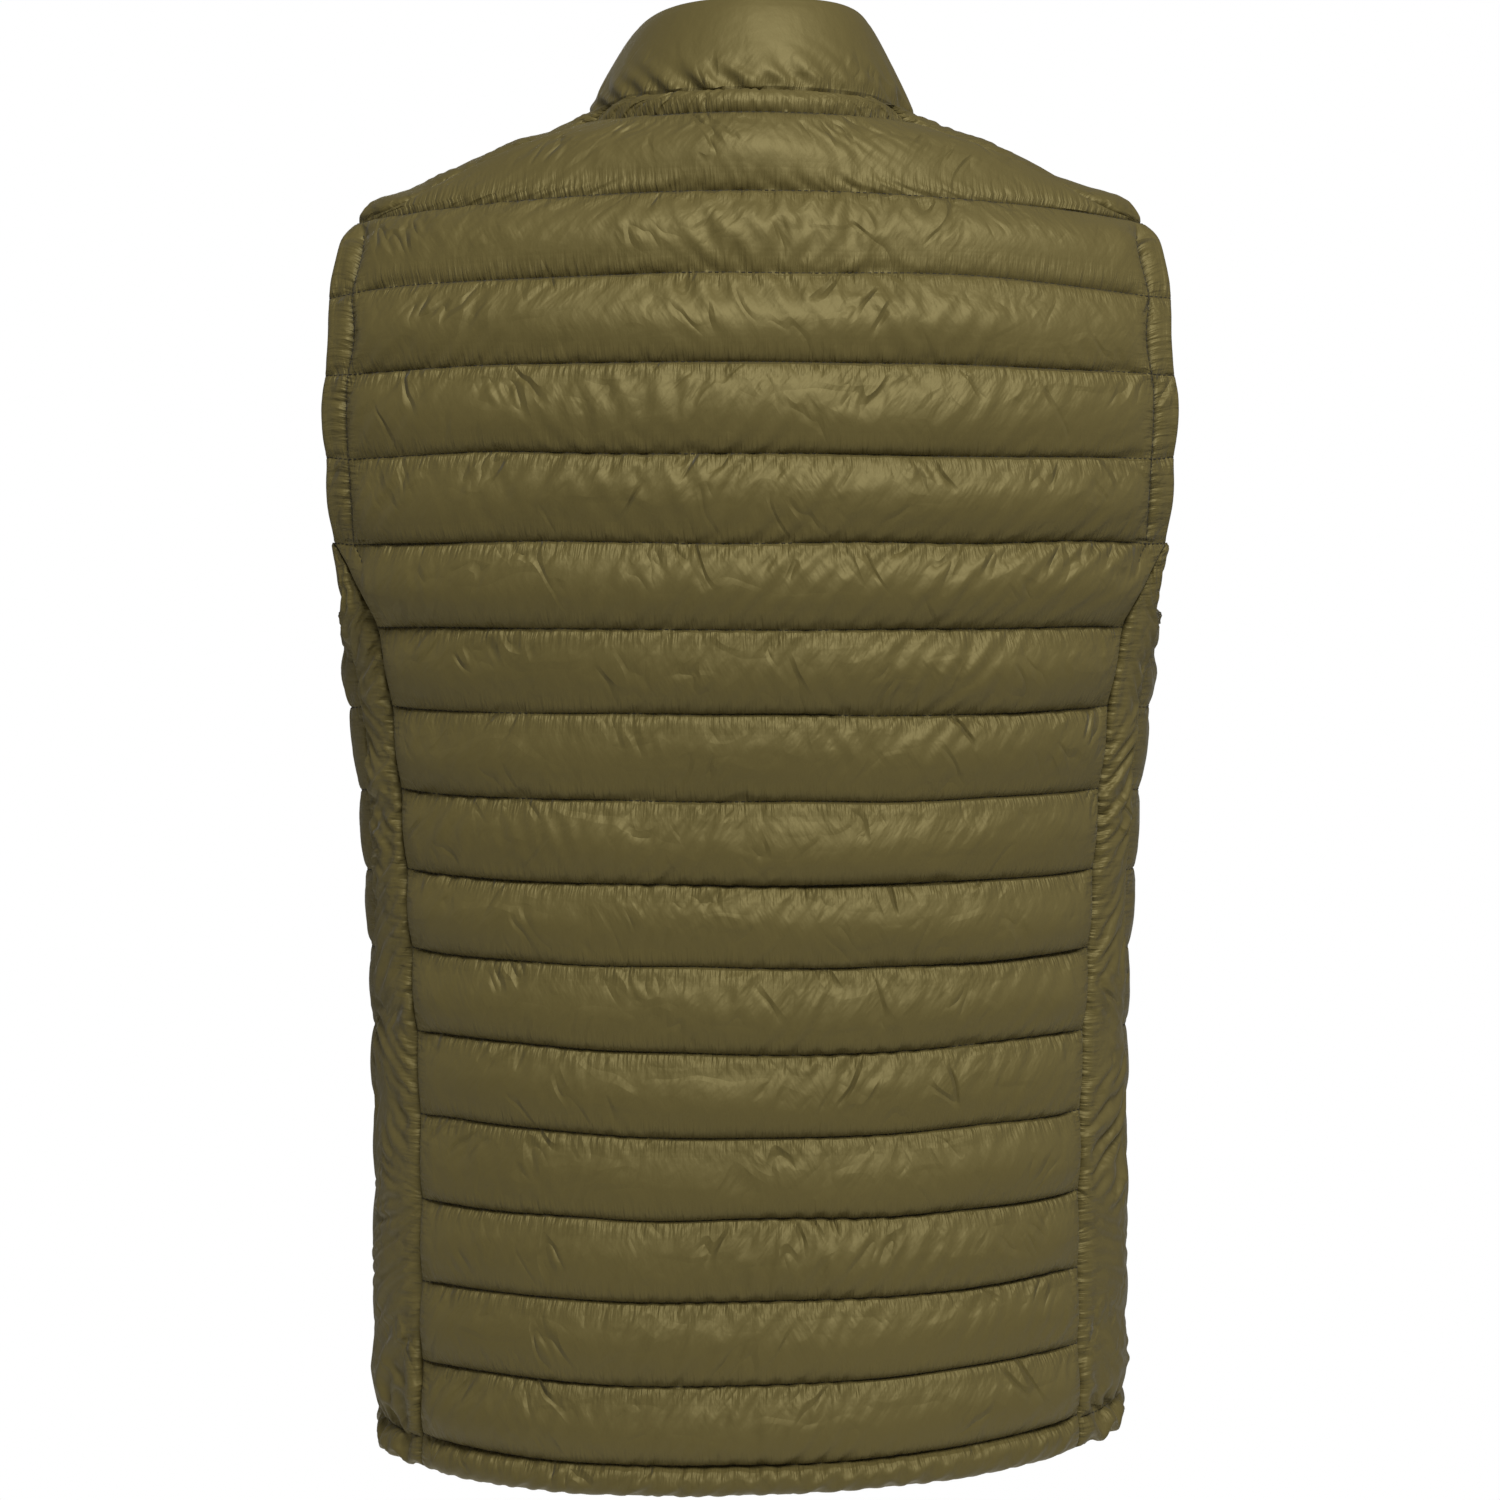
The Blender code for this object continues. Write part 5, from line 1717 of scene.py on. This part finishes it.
@dataclass(frozen=True)
class Shell:
    """Olive nylon taffeta with a thin coating: a satin face that creases sharply.

    Its highlights are broad and tinted by the yarn, because light goes into the fibres and
    comes back coloured. Along stitching it is drawn into short ticks. Heights are in metres.
    """

    colour: str = "#594f2b"
    shade: str = "#504726"  # where the dye took a little more
    tint: tuple[float, float, float, float] = (1.0, 0.86, 0.42, 1.0)
    roughness: float = 0.57
    painted_groove_shade: str = "#231f12"  # painted shade deep in the groove of a needle line and of a seam
    tick_height: float = 0.0024
    pucker_height: float = 0.0034
    crinkle_height: float = 0.0007
    fold_height: float = 0.0032
    crease_height: float = 0.0017
    grain_height: float = 0.00001

    def make(self) -> bpy.types.Material:
        """Builds the material.

        Returns:
            The material.
        """
        material, tree, shader = new_material("shell_nylon")
        flat = add_node(tree, "UVMap", {"uv_map": "Flat"}).outputs[0]
        place = add_node(tree, "TexCoord").outputs["Object"]
        line, seam, room = (
            add_node(tree, "Attribute", {"attribute_name": mark}).outputs["Fac"]
            for mark in ("line_near", "seam_near", "fold_room")
        )
        # Ticks 2.3 mm apart and 18 mm long across a quilting line, a little closer than its stitches.
        across = cells(tree, flat, (430.0, 55.0, 1.0))
        # The same along a seam: 3.3 mm apart up the cloth and 17 mm long.
        along = cells(tree, flat, (60.0, 300.0, 1.0))
        # Gathers at a seam, 8 mm apart and 22 mm long.
        pucker = cells(tree, flat, (45.0, 120.0, 1.0))
        # The coating's crinkle: facets 11 mm wide and 18 mm tall, with finer ones down to 0.7 mm.
        squashed = {"operation": "MULTIPLY", 1: (1.0, 1.0, 0.6)}
        crumpled = add_node(tree, "VectorMath", squashed, {0: place}).outputs[0]
        crinkle = add_node(tree, "TexNoise", {"Scale": 95.0, "Detail": 4.0}, {"Vector": crumpled})
        # The weave's yarns are 0.1 mm apart, too fine to show, so the grain is drawn at 0.7 mm.
        grain = add_node(tree, "TexNoise", {"Scale": 1500.0, "Detail": 2.0}, {"Vector": place})
        rising, falling = (
            self.creases(tree, flat, lean, where)
            for lean, where in ((0.6, (0.54, 0.70)), (-0.5, (0.46, 0.30)))
        )
        height = layered(
            tree,
            [
                ((across, line), self.tick_height),
                ((along, seam), self.tick_height),
                ((crinkle.outputs[0],), self.crinkle_height),
                ((grain.outputs[0],), self.grain_height),
                ((rising, room), self.crease_height),
                ((falling, room), self.crease_height),
                ((pucker, seam), self.pucker_height),
                ((self.flames(tree, flat), room), self.fold_height),
            ],
        )
        # Uneven dye in patches of about 110 mm.
        patch = add_node(tree, "TexNoise", {"Scale": 9.0, "Detail": 3.0}, {"Vector": place}).outputs[0]
        dyes = {"data_type": "RGBA", MIX_FIRST: hex_colour(self.colour), MIX_SECOND: hex_colour(self.shade)}
        cloth = add_node(tree, "Mix", dyes, {0: patch}).outputs[MIX_RESULT]
        # Painted shade: within about a millimetre of each quilting line (line_near^50), and of each seam
        # and armhole line (seam_near^90), the colour goes towards the groove's dark colour. This stands in
        # for the shade in those grooves.
        painted_groove_shade = add_node(tree, "Math", {"operation": "POWER", 1: 50.0}, {0: line}).outputs[0]
        # The mask named thread paints shade into the colour along each seam and along the armhole's
        # stitched line. It is not the thread, which is a piece of its own.
        thread = add_node(tree, "Math", {"operation": "POWER", 1: 90.0}, {0: seam}).outputs[0]
        dark = layered(tree, [((painted_groove_shade,), 0.25), ((thread,), 0.75)])
        shaded = {"data_type": "RGBA", MIX_SECOND: hex_colour(self.painted_groove_shade)}
        colour = add_node(tree, "Mix", shaded, {0: dark, MIX_FIRST: cloth}).outputs[MIX_RESULT]
        tree.links.new(colour, shader.inputs["Base Color"])
        values = {
            "Roughness": self.roughness,
            "IOR": 1.60,
            "Specular Tint": self.tint,
            "Sheen Weight": 0.05,
            "Sheen Roughness": 0.4,
        }
        finish(tree, shader, height, values)
        return material

    @staticmethod
    def flames(tree: Tree, flat: Socket) -> Socket:
        """Soft folds that lean one way in some places and the other way in others.

        A fold is 13 mm wide and 42 mm long. A patch of one lean is 71 mm wide and 38 mm tall.

        Args:
            tree: the node tree.
            flat: each point's place on the cloth, in metres.

        Returns:
            A height from 0 to 1 or a little more.
        """
        parts = []
        for lean, start, end in ((0.75, 0.62, 0.42), (-0.55, 0.48, 0.66)):
            turned = add_node(tree, "Mapping", {"vector_type": "POINT"}, {"Vector": flat})
            turned.inputs["Rotation"].default_value = (0.0, 0.0, math.atan(lean))
            wave = cells(tree, turned.outputs[0], (80.0, 24.0, 1.0), 3.5)
            patch = cells(tree, flat, (14.0, 26.0, 1.0))
            range_of = {"From Min": start, "From Max": end, "To Min": 0.1, "To Max": 1.0}
            kept = add_node(tree, "MapRange", range_of, {"Value": patch})
            parts.append(((wave, kept.outputs[0]), 1.0))
        return layered(tree, parts)

    @staticmethod
    def creases(tree: Tree, flat: Socket, lean: float, where: tuple[float, float]) -> Socket:
        """Sharp slanting creases: thin valleys where stretched noise crosses its mean, in patches.

        Creases are 16 mm apart and 50 mm long. A patch of them is 42 mm across.

        Args:
            tree: the node tree.
            flat: each point's place on the cloth, in metres.
            lean: how far a crease moves sideways for each step up.
            where: the values of a shared patchy noise at which creases start and are deepest.

        Returns:
            A height from -1 in a crease to 0.
        """
        settings = {"vector_type": "POINT", "Location": (lean, 2.0, 0.0)}
        sheared = add_node(tree, "Mapping", settings, {"Vector": flat})
        sheared.inputs["Rotation"].default_value = (0.0, 0.0, math.atan(lean))
        wave = cells(tree, sheared.outputs[0], (62.0, 20.0, 1.0), 1.5)
        centred = add_node(tree, "Math", {"operation": "SUBTRACT", 1: 0.5}, {0: wave}).outputs[0]
        width = add_node(tree, "Math", {"operation": "ABSOLUTE"}, {0: centred}).outputs[0]
        range_of = {"From Min": 0.0, "From Max": 0.07, "To Min": -1.0, "To Max": 0.0}
        valley = add_node(tree, "MapRange", range_of, {"Value": width})
        patch = cells(tree, flat, (24.0, 24.0, 1.0), 1.0)
        range_of = {"From Min": where[0], "From Max": where[1], "To Min": 0.0, "To Max": 1.0}
        kept = add_node(tree, "MapRange", range_of, {"Value": patch})
        return layered(tree, [((valley.outputs[0], kept.outputs[0]), 1.0)])


@dataclass(frozen=True)
class Weave:
    """Plain cloth seen inside, or the zip's woven tape: matt, with its threads just showing."""

    name: str
    colour: str
    roughness: float
    threads: tuple[float, float, float]  # a metre, along each axis
    height: float

    def make(self) -> bpy.types.Material:
        """Builds the material.

        Returns:
            The material.
        """
        material, tree, shader = new_material(self.name)
        place = add_node(tree, "TexCoord").outputs["Object"]
        grain = cells(tree, place, self.threads)
        # Soft unevenness, 17 mm across.
        soft = add_node(tree, "TexNoise", {"Scale": 60.0, "Detail": 3.0}, {"Vector": place}).outputs[0]
        height = layered(tree, [((grain,), self.height), ((soft,), 0.0003)])
        values = {"Base Color": hex_colour(self.colour), "Roughness": self.roughness}
        finish(tree, shader, height, {**values, "Specular IOR Level": 0.2})
        return material


@dataclass(frozen=True)
class Solid:
    """A plain hard finish with 1.1 mm unevenness: moulded teeth, painted metal, thread, the floor."""

    name: str
    colour: str
    roughness: float
    metallic: float = 0.0
    grain: float = 0.00002

    def make(self) -> bpy.types.Material:
        """Builds the material.

        Returns:
            The material.
        """
        material, tree, shader = new_material(self.name)
        place = add_node(tree, "TexCoord").outputs["Object"]
        uneven = add_node(tree, "TexNoise", {"Scale": 900.0, "Detail": 2.0}, {"Vector": place})
        height = layered(tree, [((uneven.outputs[0],), self.grain)])
        values = {"Base Color": hex_colour(self.colour), "Roughness": self.roughness}
        finish(tree, shader, height, {**values, "Metallic": self.metallic})
        return material


# ----------------------------------------------------------------- the studio
@dataclass(frozen=True)
class Softbox:
    """An area light."""

    name: str
    at: tuple[float, float, float]
    aim: tuple[float, float, float]
    size: tuple[float, float]
    watts: float
    mirrored: bool = True  # whether glossy cloth shows its reflection

    def add(self) -> None:
        """Hangs the light and turns it to its aim."""
        light = bpy.data.lights.new(self.name, "AREA")
        light.shape, light.size, light.size_y = "RECTANGLE", *self.size
        light.energy = self.watts
        obj = bpy.data.objects.new(self.name, light)
        obj.location = self.at
        obj.visible_glossy = self.mirrored
        obj.rotation_euler = (Vector(self.aim) - Vector(self.at)).to_track_quat("-Z", "Y").to_euler()
        bpy.context.scene.collection.objects.link(obj)


SOFTBOXES = (
    Softbox("key_behind", (-0.55, 2.35, 2.15), (0.0, 0.05, -0.22), (1.4, 1.1), 130.0),
    Softbox("key_front", (0.0, -2.30, -0.30), (0.0, -0.05, -0.30), (1.4, 1.1), 15.0),
    Softbox("fill_front", (0.60, -2.20, 0.80), (0.0, -0.05, -0.30), (1.4, 1.1), 34.0, False),
    Softbox("strip_left", (1.9, 0.25, -0.2), (0.0, 0.0, -0.3), (0.5, 1.5), 3.0),
    Softbox("strip_right", (-1.9, 0.25, -0.2), (0.0, 0.0, -0.3), (0.5, 1.5), 3.5),
)


@dataclass(frozen=True)
class Studio:
    """Camera, lights, white surround and a pale floor well below the vest."""

    camera_at: tuple[float, float, float] = (0.0, 1.825, -0.2036)
    camera_down: float = math.radians(3.51)
    lens: float = 82.2  # in millimetres, before a sensor 36 mm wide
    ambient: float = 0.16
    floor_z: float = -1.2
    floor_radius: float = 1.4

    def build(self) -> None:
        """Sets everything up."""
        self.camera()
        for light in SOFTBOXES:
            light.add()
        self.surround()
        self.floor()

    def camera(self) -> None:
        """Looks at the back from 1.8 m away, tilted slightly down."""
        data = bpy.data.cameras.new("camera")
        data.lens, data.sensor_width, data.clip_end = self.lens, 36.0, 50.0
        obj = bpy.data.objects.new("camera", data)
        obj.location = self.camera_at
        obj.rotation_euler = (math.pi / 2 - self.camera_down, 0.0, math.pi)
        bpy.context.scene.collection.objects.link(obj)
        bpy.context.scene.camera = obj

    def surround(self) -> None:
        """White behind the vest, and a dimmer even light on it."""
        world = bpy.data.worlds.new("surround")
        world.use_nodes = True
        tree = world.node_tree
        tree.nodes.clear()
        seen = add_node(tree, "Background", {"Color": (1.0, 1.0, 1.0, 1.0), "Strength": 1.0})
        lit = add_node(tree, "Background", {"Color": (1.0, 1.0, 1.0, 1.0), "Strength": self.ambient})
        straight = add_node(tree, "LightPath").outputs["Is Camera Ray"]
        mix = add_node(tree, "MixShader", None, {0: straight, 1: lit.outputs[0], 2: seen.outputs[0]})
        add_node(tree, "OutputWorld", None, {"Surface": mix.outputs[0]})
        bpy.context.scene.world = world
        bpy.context.scene.view_settings.view_transform = "Standard"

    def floor(self) -> None:
        """A round pale floor."""
        angle = np.linspace(0, 2 * math.pi, 65)[:-1]
        rim = np.stack([np.cos(angle), np.sin(angle), np.zeros(64)], 1) * self.floor_radius
        rim[:, 2] = self.floor_z
        obj = mesh_object("floor", rim, [list(range(64))])
        obj.data.materials.append(Solid("floor_paint", "#e6e6e4", 0.8).make())


# ------------------------------------------------------------------- the vest
@dataclass(frozen=True)
class Cut:
    """The flat size of a cloth piece in metres, and its flat area."""

    width: float
    length: float
    area: float


CUTS = {
    "back": Cut(0.494, 0.800, 0.332),
    "front": Cut(0.325, 0.830, 0.203),
    "side": Cut(0.084, 0.494, 0.0268),
    "shoulder": Cut(0.040, 0.168, 0.0046),
    "collar": Cut(0.573, 0.068, 0.0288),
    "tape": Cut(0.0120, 0.694, 0.0083),
}


class Vest:
    """All the pieces of the vest, in place and finished."""

    def __init__(self, nodes: dict[str, bpy.types.Object]) -> None:
        """Keeps the solids and makes the finishes.

        Args:
            nodes: the solids by name.
        """
        self.nodes = nodes
        self.shell = Shell().make()
        # Uncoated polyester lining: darker and duller than the shell. Its yarns lie 0.1 mm apart,
        # too fine to show, so they are drawn at 0.7 mm.
        self.lining = Weave("lining_cloth", "#3d3823", 0.55, (1400.0, 1400.0, 1400.0), 0.00002).make()
        # Spun polyester thread: nearly black in its grooves, with no shine.
        self.thread = Solid("thread", "#272213", 0.85).make()
        # Polyester tape: ribs 0.4 mm apart up the zip and threads 1.1 mm apart across it.
        self.tape_cloth = Weave("tape_weave", "#37321f", 0.75, (900.0, 900.0, 2600.0), 0.00012).make()
        # Acetal teeth: smooth from the mould, with small clear highlights.
        self.plastic = Solid("tooth_plastic", "#2d2a1d", 0.38).make()
        # Zinc under thin paint: the metal's shine comes through at the edges.
        self.metal = Solid("painted_metal", "#37342a", 0.36, 0.75).make()
        self.relaxer = Relaxer(steps=260)

    def cloth(
        self, obj: bpy.types.Object, node: str, cut: Cut, held: str, stitches: list[bpy.types.Object]
    ) -> None:
        """Finishes a cloth piece and puts it in the place of its solid.

        Args:
            obj: the piece.
            node: the solid that it replaces.
            cut: its flat size; not used.
            held: how the cloth is held; not used.
            stitches: the thread that goes with it; not used.
        """
        obj.data.materials.append(self.shell)
        obj.data.materials.append(self.lining)
        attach(obj, "vest")
        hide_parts(node)
        count = sum(len(p.vertices) - 2 for p in obj.data.polygons)
        area = sum(p.area for p in obj.data.polygons) / 2
        log.info("%s: %d triangles, %.4f square metres", obj.name, count, area)

    def stitching(self, name: str, paths: list[tuple[Array, Array]]) -> bpy.types.Object:
        """The thread of one piece.

        Args:
            name: of the piece.
            paths: for each line its points and the cloth's normals there.

        Returns:
            The thread.
        """
        points, faces = stitch_mesh(paths)
        obj = mesh_object(name, points, faces, sharp=80)
        obj.data.materials.append(self.thread)
        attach(obj, "vest")
        return obj

    def panels(self) -> None:
        """Back, fronts, sides and shoulder strips, the right ones mirrored with folds of their own."""
        jobs: list[tuple[Panel, str, Cut]] = [(BackPanel(), "back", CUTS["back"])]
        for side, word in ((Side.LEFT, "left"), (Side.RIGHT, "right")):
            more = 0 if side is Side.LEFT else 100
            front = FrontPanel(f"front_quilted_{word}", 23 + more, side)
            gore = SidePanel(f"side_plain_{word}", 37 + more, side)
            strip = ShoulderStrip(f"shoulder_strip_{word}", 53 + more, side)
            for panel, part in ((front, "front"), (gore, "side"), (strip, "shoulder")):
                jobs.append((panel, f"{part}_{word}", CUTS[part]))
        for panel, node, cut in jobs:
            obj = panel.build(self.relaxer)
            threads = [self.stitching(f"{node}_stitches", panel.stitches)] if panel.stitches else []
            self.cloth(obj, node, cut, "hung", threads)

    def collar(self) -> None:
        """The standing collar with the stitches of its seam."""
        collar = Collar()
        obj = collar.build(self.relaxer)
        threads = self.stitching("collar_stitches", collar.stitches)
        self.cloth(obj, "collar", CUTS["collar"], "hung", [threads])

    def zip(self) -> None:
        """Tapes, teeth, slider and pull."""
        zipper = Zip(Collar())
        for side, word in ((Side.LEFT, "left"), (Side.RIGHT, "right")):
            tape = zipper.tape(f"tape_woven_{word}", side)
            tape.data.materials.append(self.tape_cloth)
            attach(tape, "vest")
            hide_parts(f"zip_tape_{word}")
        teeth = zipper.teeth()
        teeth.data.materials.append(self.plastic)
        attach(teeth, "vest")
        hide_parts("zip_chain")
        for node, body in (("zip_slider", "vest"), ("zip_pull", "pull")):
            obj = softened(self.nodes[node], node + "_cast", 0.00035)
            obj.data.materials.clear()
            obj.data.materials.append(self.metal)
            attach(obj, body)
            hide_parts(node)


def main() -> None:
    """Builds the studio and the vest."""
    logging.basicConfig(level=logging.INFO, format="%(message)s")
    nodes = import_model()["nodes"]
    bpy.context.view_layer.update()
    Studio().build()
    vest = Vest(nodes)
    vest.panels()
    vest.collar()
    vest.zip()


if __name__ == "__main__":
    main()
